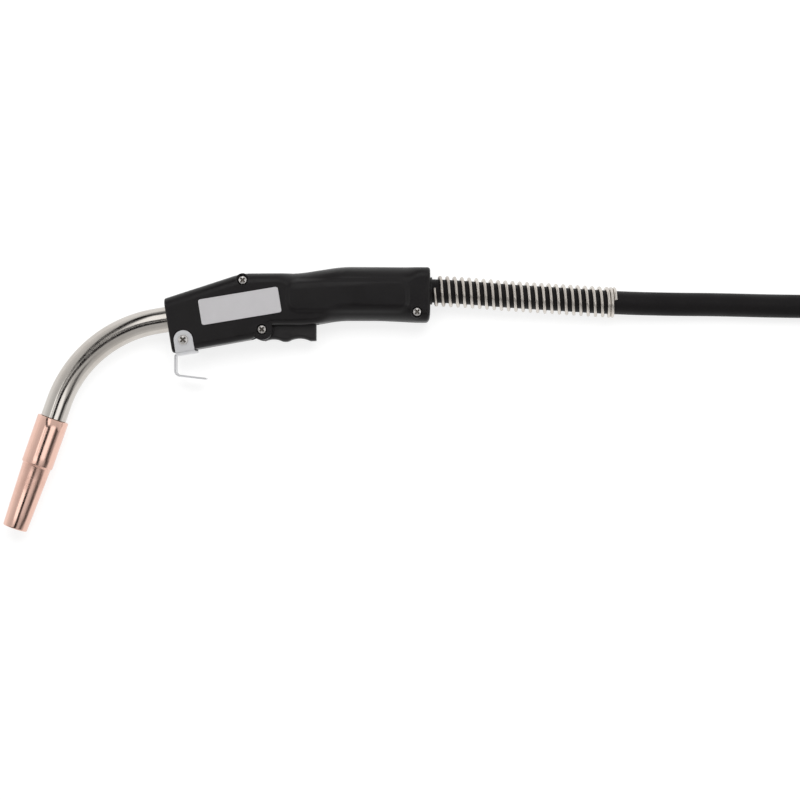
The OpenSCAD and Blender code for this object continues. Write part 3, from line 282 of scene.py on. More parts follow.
handling_group, given, out = node_group(
    "handling", [("Vector", "Vector", None)], [("Smudges", "Float"), ("Dust", "Float")])
cloud = add(handling_group, "TexNoise", Vector=given["Vector"], Scale=28, Detail=4, Roughness=0.55)
specks = add(handling_group, "TexNoise", Vector=given["Vector"], Scale=1500, Detail=2, Roughness=0.8)
up = add(handling_group, "SeparateXYZ", Vector=add(handling_group, "NewGeometry").outputs["Normal"])
settled = between(handling_group, up.outputs["Z"], -0.2, 0.9, 0.3, 1)
dust = maths(handling_group, "MULTIPLY", between(handling_group, specks.outputs["Fac"], 0.58, 0.75), settled)
handling_group.links.new(cloud.outputs["Fac"], out["Smudges"])
handling_group.links.new(dust, out["Dust"])
print("shared effects:", [group.name for group in bpy.data.node_groups])


def use(tree, group, **inputs):
    """Places a shared effect in a material."""
    made = tree.nodes.new("ShaderNodeGroup")
    made.node_tree = group
    for name, value in inputs.items():
        feed(tree, made.inputs[name], value)
    return made.outputs


# %% [markdown]
# ## Moulded plastics and rubber
# The handle is black nylon from a spark-eroded mould: matt, with a fine even grain and slightly
# polished edges. The trigger is the same nylon from a smoother tool. The hose is rubber, duller
# still, and holds dust. One recipe makes them all, with other numbers.

# %% The recipe for mouldings
DUST = srgb(150, 146, 142)
EDGE_POLISH = 0.12             # how much smoother a rubbed edge is


def start_material(name):
    """A new material with its shader, and the piece's own coordinates."""
    material = bpy.data.materials.new(name)
    material.use_nodes = True
    tree = material.node_tree
    shader = tree.nodes["Principled BSDF"]
    place = add(tree, "TexCoord").outputs["Object"]
    return material, tree, shader, place


def moulded(
        name, colour, worn_colour, rough, grain_size, grain_depth, dust_amount, wear, specular=0.5,
        relief=None):
    """relief adds a larger moulded form: a function that gives its height, and that height in metres."""
    material, tree, shader, place = start_material(name)
    handled = use(tree, handling_group, Vector=place)
    dust_share = maths(tree, "MULTIPLY", handled["Dust"], dust_amount)
    dusty = mixed(tree, dust_share, colour, DUST)
    edges = use(tree, wear_group, Vector=place, Amount=wear)["Mask"]
    feed(tree, shader.inputs["Base Color"], mixed(tree, edges, dusty, worn_colour))
    dull = between(tree, handled["Smudges"], 0.35, 0.65, rough - 0.06, rough + 0.07)
    polished = maths(tree, "MULTIPLY", edges, EDGE_POLISH)
    feed(tree, shader.inputs["Roughness"], maths(tree, "SUBTRACT", dull, polished))
    height = use(tree, texture_group, Vector=place, Size=grain_size)["Height"]
    bump = add(tree, "Bump", Height=height, Strength=1.0, Distance=grain_depth)
    if relief:
        form, depth = relief
        below = add(tree, "Bump", Height=form(tree, place), Strength=1.0, Distance=depth)
        feed(tree, bump.inputs["Normal"], below.outputs["Normal"])
    feed(tree, shader.inputs["Normal"], bump.outputs["Normal"])
    shader.inputs["Specular IOR Level"].default_value = specular
    return material


# %% [markdown]
# ## The grip's palm pads
# On each side of the grip a long pad stands a little proud, for the palm and the fingers. It is only
# a millimetre high and its edge is soft, so a height for a Bump node draws it: a smooth step down,
# measured from a flat rectangle, which gives round corners by itself.

# %% Plastics and rubber
PAD_CENTRE, PAD_CORE = mm(39.5, -2.2, 0), mm(40.5, 4.2, 0)     # the rectangle's middle and half size
PAD_EDGE_IN, PAD_EDGE_OUT, PAD_HEIGHT = 6 * MM, 10.5 * MM, 1.1 * MM


def palm_pads(tree, place):
    """1 on the pads, 0 beside them, with a smooth step between."""
    folded = vector_maths(tree, "ABSOLUTE", vector_maths(tree, "SUBTRACT", place, PAD_CENTRE))
    outside = vector_maths(tree, "MAXIMUM", vector_maths(tree, "SUBTRACT", folded, PAD_CORE), (0, 0, 0))
    flat = vector_maths(tree, "MULTIPLY", outside, (1, 1, 0))
    from_core = vector_maths(tree, "LENGTH", flat, out="Value")
    return between(tree, from_core, PAD_EDGE_IN, PAD_EDGE_OUT, 1, 0)


grip_black = moulded(
    "grip black", srgb(14, 12, 13), srgb(50, 47, 48), rough=0.34, grain_size=0.5 * MM,
    grain_depth=0.03 * MM, dust_amount=0.02, wear=0.35, specular=0.28, relief=(palm_pads, PAD_HEIGHT))
trigger_black = moulded(
    "trigger black", srgb(20, 18, 19), srgb(62, 59, 60), rough=0.34, grain_size=0.4 * MM,
    grain_depth=0.02 * MM, dust_amount=0.02, wear=0.5, specular=0.4)
hose_rubber = moulded(
    "hose rubber", srgb(15, 13, 14), srgb(50, 48, 48), rough=0.52, grain_size=0.9 * MM,
    grain_depth=0.05 * MM, dust_amount=0.03, wear=0.2, specular=0.18)
switch_grey = moulded(
    "switch grey", srgb(92, 92, 95), srgb(140, 140, 140), rough=0.35, grain_size=0.5 * MM,
    grain_depth=0.02 * MM, dust_amount=0.0, wear=0.2)
insulator_tan = moulded(
    "insulator tan", srgb(150, 118, 82), srgb(190, 160, 125), rough=0.5, grain_size=0.6 * MM,
    grain_depth=0.03 * MM, dust_amount=0.0, wear=0.2)
cable.data.materials.append(hose_rubber)
mouldings = (grip_black, trigger_black, hose_rubber, switch_grey, insulator_tan)
print("moulded finishes:", [finish.name for finish in mouldings])

# %% [markdown]
# ## Bare and plated metals
# Metals differ in colour, in how blurred their reflections are, and in the direction of their fine
# lines. A drawn tube has lines along it, and sheet steel with a bright zinc coat has a mottled bloom.
# Noise that is squeezed along one axis is drawn out into lines, so each metal says which way its
# lines run. On the neck they follow the bend, so the bend's centre is worked out first.

# %% The way the lines run
NECK_TILT, BEND_ANGLE = math.radians(9.4), math.radians(61.2)
BEND_R, NECK_STRAIGHT = 102 * MM, 10.5 * MM
NECK_EXIT = mm(-107.721, -20.68, MID_Z)


def heading(angle):
    """A level direction, by its angle from X."""
    return Vector((math.cos(angle), math.sin(angle), 0))


FRONT_DIR = heading(math.pi + NECK_TILT)
NOZZLE_DIR = heading(math.pi + NECK_TILT + BEND_ANGLE)
bend_start = NECK_EXIT + NECK_STRAIGHT * FRONT_DIR
bend_centre = bend_start + BEND_R * heading(1.5 * math.pi + NECK_TILT)
print("centre of the bend:", [round(value / MM, 2) for value in bend_centre])


def along_z(tree, place):
    """Lines that run up, which need no turn."""
    return place


def along(direction):
    """Lines that run straight in a direction: turns it to Z."""
    turn = direction.to_track_quat("Z", "Y").to_euler()
    return lambda tree, place: add(
        tree, "Mapping", {"vector_type": "TEXTURE"}, Vector=place, Rotation=turn).outputs[0]


def round_the_bend(tree, place):
    """Lines that follow the neck: X is the distance from the bend's centre, and Z the way along it."""
    part = add(tree, "SeparateXYZ", Vector=vector_maths(tree, "SUBTRACT", place, bend_centre)).outputs
    level = add(tree, "CombineXYZ", X=part["X"], Y=part["Y"]).outputs[0]
    far = vector_maths(tree, "LENGTH", level, out="Value")
    way_round = maths(tree, "MULTIPLY", maths(tree, "ARCTAN2", part["Y"], part["X"]), BEND_R)
    return add(tree, "CombineXYZ", X=far, Y=part["Z"], Z=way_round).outputs[0]


# %% [markdown]
# ## The metals
# A bloom is where plating has gone milky: paler or browner, and rougher. The fine lines are noise
# with 2600 waves per metre across them and a fiftieth of that along them. They vary the roughness
# and lift the surface by a few thousandths of a millimetre.

# %% Metals
EDGE_RUB, EDGE_GLEAM = 0.3, 1.12                   # how much of an edge rubs bright, and how bright


def metal(name, colour, bloom_colour, rough, bloom, lines, lay=along_z, metallic=1.0):
    """lay gives coordinates whose Z runs along the fine lines, which are as deep as lines says."""
    material, tree, shader, place = start_material(name)
    shader.inputs["Metallic"].default_value = metallic
    drawn = add(tree, "Mapping", Vector=lay(tree, place), Scale=(1, 1, 0.02)).outputs[0]
    scratches = add(tree, "TexNoise", Vector=drawn, Scale=2600, Detail=4, Roughness=0.65).outputs["Fac"]
    handled = use(tree, handling_group, Vector=place)
    bloomed = between(tree, handled["Smudges"], 0.42, 0.68, 0, bloom)
    edges = use(tree, wear_group, Vector=place, Amount=EDGE_RUB)["Mask"]
    tinted = mixed(tree, bloomed, colour, bloom_colour)
    bright = tuple(min(channel * EDGE_GLEAM, 1) for channel in colour[:3]) + (1,)
    feed(tree, shader.inputs["Base Color"], mixed(tree, edges, tinted, bright))
    hazed = maths(tree, "MULTIPLY_ADD", bloomed, 0.35, rough)
    scratched = between(tree, scratches, 0.3, 0.7, -0.02, 0.05)
    feed(tree, shader.inputs["Roughness"], maths(tree, "ADD", hazed, scratched))
    bump = add(tree, "Bump", Height=scratches, Strength=1.0, Distance=lines)
    feed(tree, shader.inputs["Normal"], bump.outputs["Normal"])
    return material


nickel = metal(
    "nickel plate", srgb(200, 195, 189), srgb(168, 158, 148), rough=0.1, bloom=0.3, lines=0.002 * MM,
    lay=round_the_bend)
copper = metal(
    "drawn copper", srgb(231, 192, 177), srgb(205, 156, 140), rough=0.14, bloom=0.35, lines=0.003 * MM,
    lay=along(NOZZLE_DIR))
screw_zinc = metal(
    "dull zinc", srgb(216, 213, 210), srgb(150, 143, 136), rough=0.3, bloom=0.7, lines=0.004 * MM)
zinc = metal(
    "bright zinc", srgb(224, 224, 226), srgb(190, 192, 197), rough=0.3, bloom=0.4, lines=0.004 * MM,
    metallic=0.8)
spring_steel = metal(
    "spring steel", srgb(208, 202, 195), srgb(158, 147, 138), rough=0.22, bloom=0.4, lines=0.003 * MM)
plate_metal = metal(
    "brushed plate", srgb(208, 206, 208), srgb(188, 186, 187), rough=0.32, bloom=0.25,
    lines=0.004 * MM, lay=along(heading(NECK_TILT)), metallic=0.6)
# painted shade: the crosses' floors and sides are coloured dark to stand for the shade deep in them, with
# some grime
recess_shade_and_grime = metal(
    "painted recess shade and grime", srgb(140, 134, 127), srgb(84, 79, 74), rough=0.6, bloom=0.6, lines=0.004 * MM)
brass = metal(
    "machined brass", srgb(214, 180, 104), srgb(168, 132, 70), rough=0.24, bloom=0.3, lines=0.003 * MM)
steel = metal(
    "plain steel", srgb(168, 168, 172), srgb(130, 128, 126), rough=0.32, bloom=0.3, lines=0.003 * MM)
MATERIAL_OF_SLOT = {
    "grip": grip_black, "trigger_plastic": trigger_black, "cable": hose_rubber, "plate": plate_metal,
    "zinc": zinc, "nickel": nickel, "copper": copper, "brass": brass, "insulation": insulator_tan,
    "steel": steel, "switch_plastic": switch_grey}
print("finishes:", {slot: finish.name for slot, finish in MATERIAL_OF_SLOT.items()})

# %% [markdown]
# ## Pieces that take a solid's place
# A piece that is modelled here stands for one or more solids. It rides on the body that carries them,
# and takes its finish from their slot. Solids that stay in view get their finish in the same way.

# %% Pieces and finishes
body_of_node = {}
for body, parts in frame["record"]["behaviour"]["bodies"].items():
    for part in parts:
        body_of_node[part] = body
slot_of_node = {part["node"]: part["material_slot"] for part in frame["record"]["subparts"]}
shown = dict(frame["nodes"])   # what is seen of each node: its own solid, or the piece in its place


def as_piece(name, mesh, node_names, material=None):
    """Puts a finished mesh in the scene in place of CAD nodes, with their body and slot."""
    piece = bpy.data.objects.new(name, mesh)
    bpy.context.scene.collection.objects.link(piece)
    first = node_names[0]
    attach(piece, body_of_node[first])
    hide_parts(*node_names)
    shown.update({node_name: piece for node_name in node_names})
    mesh.materials.append(material or MATERIAL_OF_SLOT[slot_of_node[first]])
    return piece


for node_name, node_object in frame["nodes"].items():
    finish = MATERIAL_OF_SLOT[slot_of_node[node_name]]
    if not node_object.data.materials:
        node_object.data.materials.append(finish)
    for slot in node_object.material_slots:
        slot.material = finish
print("solids with a finish:", len(frame["nodes"]))

# %% [markdown]
# ## Dressing the solids
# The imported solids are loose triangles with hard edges. Real mouldings and pressings have none: every
# edge has a small radius that catches a line of light. Where a solid's form is right, a copy of it is
# welded, its flat areas are merged, and a narrow Bevel modifier rounds its edges. On the handle and the
# hook, places that lie closer together than the rounding is wide are welded too.

# %% Copies with rounded edges
EDGE_WIDTHS = {                # millimetres
    "handle_left": 0.3, "handle_right": 0.3, "trigger": 0.4, "hanger_hook": 0.15, "rear_ferrule": 0.4,
    "handle_nuts": 0.15, "connector_housing": 0.4, "ring_nut": 0.3, "connector_boot": 0.3,
    "connector_body": 0.3, "current_pin": 0.2, "gas_nipple": 0.15, "contact_pin_a": 0.15,
    "contact_pin_b": 0.15}
FINE_WELD, WIDE_WELDS = 0.002, {"handle_left": 0.2, "handle_right": 0.2, "hanger_hook": 0.1}
FLAT_WITHIN = math.radians(1)


def soften(piece, width, corner=32):
    """Rounds the edges of a piece that turn by more than corner degrees."""
    rounded = piece.modifiers.new("rounded edges", "BEVEL")
    rounded.width = width
    rounded.segments = 2
    rounded.limit_method = "ANGLE"
    rounded.angle_limit = math.radians(corner)
    rounded.use_clamp_overlap = False
    rounded.harden_normals = True


def shade(mesh, corner=32):
    """Shades a mesh smooth, apart from edges that turn by more than corner degrees."""
    mesh.shade_smooth()
    mesh.set_sharp_from_angle(angle=math.radians(corner))


def dressed(node_name, width, weld):
    """A copy of a CAD node: points nearer than weld become one, and edges are rounded by width."""
    shape = bmesh.new()
    shape.from_mesh(frame["nodes"][node_name].data)
    bmesh.ops.remove_doubles(shape, verts=shape.verts, dist=weld)
    bmesh.ops.dissolve_limit(shape, angle_limit=FLAT_WITHIN, verts=shape.verts, edges=shape.edges)
    mesh = bpy.data.meshes.new(node_name + "_body")
    shape.to_mesh(mesh)
    shape.free()
    shade(mesh)
    piece = as_piece(node_name + "_body", mesh, [node_name])
    soften(piece, width)
    evened = piece.modifiers.new("flat faces stay flat", "WEIGHTED_NORMAL")
    evened.keep_sharp = True


for node_name, width in EDGE_WIDTHS.items():
    dressed(node_name, width * MM, WIDE_WELDS.get(node_name, FINE_WELD) * MM)
print("dressed copies:", len(EDGE_WIDTHS))

# %% [markdown]
# ## The neck
# The neck is a plated tube, 21 mm across, drawn straight and then bent. A ring of points is pushed
# along the straight part, spun round the centre of the bend, and pushed on to the nozzle. That makes
# every section a true circle, so the reflections run along it in even streaks.

# %% Tools for tubes
ROUND_SIDES, BEND_STEPS = 96, 64
MERGED = 0.001 * MM            # points closer than this are one


def push(shape, ring, move):
    """Extrudes a ring of edges and moves the new ring on. Returns the new ring."""
    grown = bmesh.ops.extrude_edge_only(shape, edges=ring)["geom"]
    new_points = [item for item in grown if isinstance(item, bmesh.types.BMVert)]
    bmesh.ops.translate(shape, verts=new_points, vec=move)
    return [item for item in grown if isinstance(item, bmesh.types.BMEdge)]


def points_of(ring):
    """The points of a ring of edges, each once and always in the same order."""
    return list(dict.fromkeys(point for edge in ring for point in edge.verts))


def facing(direction, place):
    """A transform that lays the XY plane square to a direction, at a place."""
    return Matrix.Translation(place) @ direction.to_track_quat("Z", "Y").to_matrix().to_4x4()


def bent_tube(name, radius, wall, behind, ahead):
    """A tube along the neck, which starts behind the bend and goes on ahead of it."""
    shape = bmesh.new()
    start = facing(FRONT_DIR, bend_start - behind * FRONT_DIR)
    bmesh.ops.create_circle(shape, cap_ends=False, radius=radius, segments=ROUND_SIDES, matrix=start)
    ring = push(shape, list(shape.edges), behind * FRONT_DIR)
    spun = bmesh.ops.spin(
        shape, geom=ring + points_of(ring), cent=bend_centre, axis=(0, 0, 1), angle=BEND_ANGLE,
        steps=BEND_STEPS, use_duplicate=False)["geom_last"]
    push(shape, [item for item in spun if isinstance(item, bmesh.types.BMEdge)], ahead * NOZZLE_DIR)
    bmesh.ops.remove_doubles(shape, verts=shape.verts, dist=MERGED)
    bmesh.ops.recalc_face_normals(shape, faces=shape.faces)
    everything = list(shape.faces) + list(shape.edges) + list(shape.verts)
    bmesh.ops.solidify(shape, geom=everything, thickness=wall)
    bmesh.ops.recalc_face_normals(shape, faces=shape.faces)
    mesh = bpy.data.meshes.new(name)
    shape.to_mesh(mesh)
    shape.free()
    shade(mesh, corner=50)
    return mesh


# %% [markdown]
# ## The neck's jacket
# The nickel plated jacket is pushed 46 mm into the handle and ends at the nozzle's seat, with a small
# gap that keeps the two apart.

# %% The neck's jacket
NECK_END, JACKET_R, JACKET_WALL, JACKET_IN = 13.8 * MM, 10.5 * MM, 1 * MM, 46 * MM
SEAT_GAP = 0.3 * MM
bend_end = bend_centre - BEND_R * heading(1.5 * math.pi + NECK_TILT + BEND_ANGLE)
nozzle_seat = bend_end + NECK_END * NOZZLE_DIR
print("nozzle seat:", [round(value / MM, 2) for value in nozzle_seat])

jacket_mesh = bent_tube("neck_jacket", JACKET_R, JACKET_WALL, NECK_STRAIGHT + JACKET_IN, NECK_END - SEAT_GAP)
soften(as_piece("neck_jacket", jacket_mesh, ["tube_jacket"]), 0.2 * MM, corner=50)
print("neck jacket faces:", len(jacket_mesh.polygons))

# %% [markdown]
# ## Screws
# Three pan-head screws hold the handle together, and a fourth holds the hook. Their rounded,
# zinc-plated heads are bright, and the cross in each is coloured dark: painted shade for its depth,
# with some grime. A head is a ring that is pushed up in steps and drawn in a little at each, and its
# top is filled round the outline of the cross, which is then pushed down.

# %% How a screw is made
SHANK_R = 2                    # all lengths of the screws are in millimetres
HEAD_STEPS = [(1.4, 1), (0.5, 0.97), (0.4, 0.88), (0.3, 0.72)]     # rise, share of the head's radius
HEAD_RISE = sum(rise for rise, share in HEAD_STEPS)
ARM_HALF, ARM_REACH, CROSS_DEPTH = 0.75, 0.66, 2   # the reach is a share of the head's radius
# the slot of the dark recess colour: painted shade in the cross, with some grime
RECESS_SHADE_AND_GRIME_SLOT = 1


def screw(shape, x, y, tip, seat, head_r):
    """A screw with its tip and its head's seat at these heights."""
    axis = Matrix.Translation(mm(-x, -y, 0))
    at_tip = Matrix.Translation(mm(x, y, tip))
    circle = bmesh.ops.create_circle(
        shape, cap_ends=True, radius=SHANK_R * MM, segments=32, matrix=at_tip)["verts"]
    ring = [edge for edge in shape.edges if edge.verts[0] in circle and edge.verts[1] in circle]
    shank = [(seat - tip, SHANK_R), (0, head_r)]
    head = [(rise, share * head_r) for rise, share in HEAD_STEPS]
    last = SHANK_R
    for rise, radius in shank + head:
        ring = push(shape, ring, mm(0, 0, rise))
        share = radius / last
        bmesh.ops.scale(shape, vec=(share, share, 1), space=axis, verts=points_of(ring))
        last = radius
    reach = head_r * ARM_REACH
    quarter_outline = [(reach, ARM_HALF), (ARM_HALF, ARM_HALF), (ARM_HALF, reach)]
    top = mm(x, y, seat + HEAD_RISE)
    cross = [
        shape.verts.new(Matrix.Rotation(math.radians(45 + 90 * quarter), 3, "Z") @ mm(*corner, 0) + top)
        for quarter in range(4) for corner in quarter_outline]
    outline = [shape.edges.new(pair) for pair in zip(cross, cross[1:] + cross[:1])]
    bmesh.ops.triangle_fill(shape, use_beauty=True, use_dissolve=False, edges=ring + outline)
    deep = push(shape, outline, mm(0, 0, -CROSS_DEPTH))
    floor_face = bmesh.ops.contextual_create(shape, geom=deep)["faces"]
    sides = [face for edge in outline for face in edge.link_faces if abs(face.normal.z) < 0.5]
    # the cross's floor and sides take the dark recess colour: painted shade, with some grime
    for face in floor_face + sides:
        face.material_index = RECESS_SHADE_AND_GRIME_SLOT


# %% [markdown]
# ## The four screws
# Three alike go through both halves of the handle: at its brow, at the trigger's pivot and at its
# heel. The hook's is a little larger, and its head stands on the hook's sheet.

# %% Screws
BROW_SCREW, PIVOT_SCREW = (-45.9, 10.5), (-30.3, -29.5)
HEEL_SCREW, HOOK_SCREW = (95.9, -15.2), (-94.083, -37.998)


def screws(name, node_name, places, tip, seat, head_r):
    """Screws of one size, as one piece with bright heads and crosses darkened by painted shade and grime."""
    shape = bmesh.new()
    for place in places:
        screw(shape, *place, tip, seat, head_r)
    bmesh.ops.recalc_face_normals(shape, faces=shape.faces)
    mesh = bpy.data.meshes.new(name)
    shape.to_mesh(mesh)
    shape.free()
    shade(mesh, corner=40)
    as_piece(name, mesh, [node_name], screw_zinc)
    # second slot: the dark recess colour, painted shade with some grime
    mesh.materials.append(recess_shade_and_grime)
    print(name, "faces:", len(mesh.polygons))


handle_places = [BROW_SCREW, PIVOT_SCREW, HEEL_SCREW]
screws("handle_screw_set", "handle_screws", handle_places, tip=1.1, seat=32.6, head_r=3.7)
screws("hook_pan_screw", "hook_screw", [HOOK_SCREW], tip=2.2, seat=35.8, head_r=4.1)

# %% [markdown]
# ## The name plate
# A thin plate with round corners lies in a bed in the handle's side. It has a narrow raised rim round
# a brushed field, which is left bare. Four corners make a face, its corners are beveled, and the
# face is extruded and inset.

# %% Name plate
PLATE_LENGTH, PLATE_HEIGHT, PLATE_THICKNESS, PLATE_CORNER = 65.6 * MM, 21 * MM, 0.9 * MM, 1.9 * MM
PLATE_BED = mm(-48.1, -10.5, 35.5)
RIM, RIM_SLOPE, FIELD_DROP = 0.9 * MM, 0.25 * MM, 0.15 * MM
shape = bmesh.new()
corners = bmesh.ops.create_grid(shape, x_segments=1, y_segments=1, size=0.5)["verts"]
bmesh.ops.scale(shape, vec=(PLATE_LENGTH, PLATE_HEIGHT, 1), verts=corners)
bmesh.ops.bevel(
    shape, geom=corners, offset=PLATE_CORNER, segments=6, profile=0.5, affect="VERTICES", material=-1)
lifted = bmesh.ops.extrude_face_region(shape, geom=list(shape.faces))["geom"]
lifted_points = [item for item in lifted if isinstance(item, bmesh.types.BMVert)]
bmesh.ops.translate(shape, verts=lifted_points, vec=(0, 0, PLATE_THICKNESS))
face_up = [item for item in lifted if isinstance(item, bmesh.types.BMFace)]
bmesh.ops.inset_region(shape, faces=face_up, thickness=RIM, depth=0)
bmesh.ops.inset_region(shape, faces=face_up, thickness=RIM_SLOPE, depth=-FIELD_DROP)
bmesh.ops.recalc_face_normals(shape, faces=shape.faces)
bed = Matrix.Translation(PLATE_BED) @ Matrix.Rotation(NECK_TILT, 4, "Z")
bmesh.ops.transform(shape, matrix=bed, verts=shape.verts)
plate_mesh = bpy.data.meshes.new("bare_plate")
shape.to_mesh(plate_mesh)
shape.free()
shade(plate_mesh, corner=30)
soften(as_piece("bare_plate", plate_mesh, ["name_plate"]), 0.12 * MM, corner=50)
print("plate faces:", len(plate_mesh.polygons))

# %% [markdown]
# ## The nozzle
# The nozzle is drawn copper: a parallel sleeve that pushes over the insulator, a small step, and a
# long taper down to the mouth. It is a turned shape, so half its section is drawn once and spun
# round the axis.

# %% The nozzle
NOZZLE_SECTION = [             # distance from the rear rim, radius, both in millimetres
    (0, 11.3), (0, 12.4), (0.15, 12.8), (0.5, 13), (8, 13), (16, 13), (24, 13), (32, 13), (39.3, 13),
    (40, 12.9), (40.35, 12.6), (40.5, 12.2), (40.8, 11.95), (41.7, 11.8), (52, 11.5), (62, 11.2),
    (72, 10.9), (82, 10.6), (93.8, 10.2), (94.5, 10.1), (94.9, 9.8), (95, 9.3), (94.95, 8.6),
    (94.7, 8.2), (94.2, 7.95), (84, 7.95), (72, 7.95), (61, 7.95), (57, 9.2), (53, 10), (44, 10),
    (34, 10), (33, 10.7), (22, 10.7), (11, 10.7), (0.6, 10.7), (0.15, 10.9)]


def turned(name, section, seat, direction):
    """Spins a closed half section, given as (distance, radius), round an axis."""
    shape = bmesh.new()
    points = [shape.verts.new((radius * MM, 0, distance * MM)) for distance, radius in section]
    for first, second in zip(points, points[1:] + points[:1]):
        shape.edges.new((first, second))
    bmesh.ops.spin(
        shape, geom=list(shape.edges) + points, cent=(0, 0, 0), axis=(0, 0, 1), angle=math.tau,
        steps=ROUND_SIDES, use_merge=True, use_duplicate=False)
    bmesh.ops.remove_doubles(shape, verts=shape.verts, dist=MERGED)
    bmesh.ops.recalc_face_normals(shape, faces=shape.faces)
    bmesh.ops.transform(shape, matrix=facing(direction, seat), verts=shape.verts)
    mesh = bpy.data.meshes.new(name)
    shape.to_mesh(mesh)
    shape.free()
    return mesh


nozzle_mesh = turned("nozzle_sleeve", NOZZLE_SECTION, nozzle_seat, NOZZLE_DIR)
shade(nozzle_mesh, corner=60)
as_piece("nozzle_sleeve", nozzle_mesh, ["nozzle"])
print("nozzle faces:", len(nozzle_mesh.polygons))

# %% [markdown]
# ## The strain spring
# Round wire, 2.7 mm thick, is wound round the cable's first stretch: 24 open turns at a pitch of
# 5.95 mm and two closed ones at the end. The wire is a curve with a round bevel, so its section
# stays round, and its turns are centred on the cable's own middle line.

# %% The strain spring
SPRING_START, SPRING_R, WIRE_R = 108.7, 11.3, 1.35
OPEN_TURNS, CLOSED_TURNS, PITCH, CLOSED_PITCH = 24, 2, 5.95, 2.8
FIRST_TURN = 0.22              # where round the cable the wire starts, in turns
STEPS_PER_TURN = 8             # a curve's handles round the turn off between them


def middle_at(x):
    """The cable's middle at a distance along X, in metres, on its free run."""
    ahead = next(i for i in range(1, len(cable_middle)) if cable_middle[i].x >= x)
    before_place, after_place = cable_middle[ahead - 1], cable_middle[ahead]
    return before_place.lerp(after_place, (x - before_place.x) / (after_place.x - before_place.x))


wire_places = []
for step in range((OPEN_TURNS + CLOSED_TURNS) * STEPS_PER_TURN + 1):
    turn = step / STEPS_PER_TURN
    x = SPRING_START + WIRE_R + PITCH * min(turn, OPEN_TURNS) + CLOSED_PITCH * max(turn - OPEN_TURNS, 0)
    angle = math.tau * (turn + FIRST_TURN)
    round_place = mm(0, SPRING_R * math.cos(angle), SPRING_R * math.sin(angle))
    wire_places.append(middle_at(x * MM) + round_place)
wire_mesh = mesh_of_curve(smooth_curve("spring_wire", wire_places, steps=5), WIRE_R * MM, roundness=4)
wire_mesh.shade_smooth()
as_piece("spring_wire", wire_mesh, ["strain_spring"], spring_steel)
print("spring: faces", len(wire_mesh.polygons), "last x", round(wire_places[-1].x, 4))

# %% [markdown]
# ## The return springs
# Three small springs push back: one behind the trigger, and one behind each control pin. Each is round
# wire that climbs along its axis, in the room that its solid takes, and rides on the body of its solid.
# One end stands still and the other follows a moving piece, and how far that end goes is printed. The
# trigger's goes a little sideways too, since it turns.

# %% How a return spring is made
LOW_CORNER, HIGH_CORNER = 0, 1                     # of a node's box


def return_spring(name, node_name, way, wire, turns, shift):
    """Winds wire in a node's box. way leads from its standing end to its moving one; shift, how far that end
    goes, is only printed.
    """
    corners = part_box(node_name)
    size = corners[HIGH_CORNER] - corners[LOW_CORNER]
    middle = (corners[LOW_CORNER] + corners[HIGH_CORNER]) / 2
    length, radius, up = abs(size.dot(way)), (size.z - wire) / 2, Vector((0, 0, 1))
    places = []
    for step in range(turns * STEPS_PER_TURN + 1):
        angle = math.tau * step / STEPS_PER_TURN
        climb = (length - wire) * (step / (turns * STEPS_PER_TURN) - 0.5)
        from_axis = radius * (math.cos(angle) * way.cross(up) + math.sin(angle) * up)
        places.append(middle + climb * way + from_axis)
    mesh = mesh_of_curve(smooth_curve(name, places, steps=4), wire / 2, roundness=2)
    mesh.shade_smooth()
    piece = as_piece(name, mesh, [node_name])
    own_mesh(piece)
    print(name, "length:", round(length / MM, 2), "mm, shortens by", round(shift.length / MM, 2))


# %% [markdown]
# The trigger's spring stands against the handle and is pressed from below. How far its lower end goes
# is found by turning that end's place about the trigger's pivot. The pins' springs stand at the
# bottom of their bores, and their outer ends go as far as the pins do.

# %% Return springs
TRIGGER_PULL, PIN_PUSH = math.radians(4), 3 * MM
trigger_pivot = mm(*PIVOT_SCREW, MID_Z)
low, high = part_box("trigger_spring")
pressed = Vector((high.x, low.y, trigger_pivot.z)) - trigger_pivot
return_spring(
    "trigger_return", "trigger_spring", way=Vector((0, -1, 0)), wire=0.8 * MM, turns=5,
    shift=Matrix.Rotation(TRIGGER_PULL, 3, "Z") @ pressed - pressed)
for side in "ab":
    return_spring(
        "contact_return_" + side, "contact_spring_" + side, way=Vector((1, 0, 0)),
        wire=0.6 * MM, turns=7, shift=Vector((-PIN_PUSH, 0, 0)))

# %% [markdown]

# %% [markdown]
# ## The table
# The torch lies on a white table. The table is matt cloth that also glows a little for the camera and
# for mirrors, so that it turns pure white where no shadow falls. Light that bounces between surfaces
# doesn't see the glow, so the torch is lit no brighter by it.

# %% Table
TABLE_HALF = 12                # metres: far past the edge of any view
CLOTH_GREY, CLOTH_GLOW = 0.33, 0.76
WHITE = (1, 1, 1, 1)
floor_shape = bmesh.new()
bmesh.ops.create_grid(floor_shape, x_segments=1, y_segments=1, size=TABLE_HALF)
floor_mesh = bpy.data.meshes.new("floor")
floor_shape.to_mesh(floor_mesh)
floor_shape.free()
floor = bpy.data.objects.new("floor", floor_mesh)
bpy.context.scene.collection.objects.link(floor)


def mirrored_rays(tree):
    """1 for rays that a mirror or glass sends on, 0 for others."""
    rays = add(tree, "LightPath").outputs
    return maths(tree, "MAXIMUM", rays["Is Glossy Ray"], rays["Is Transmission Ray"])


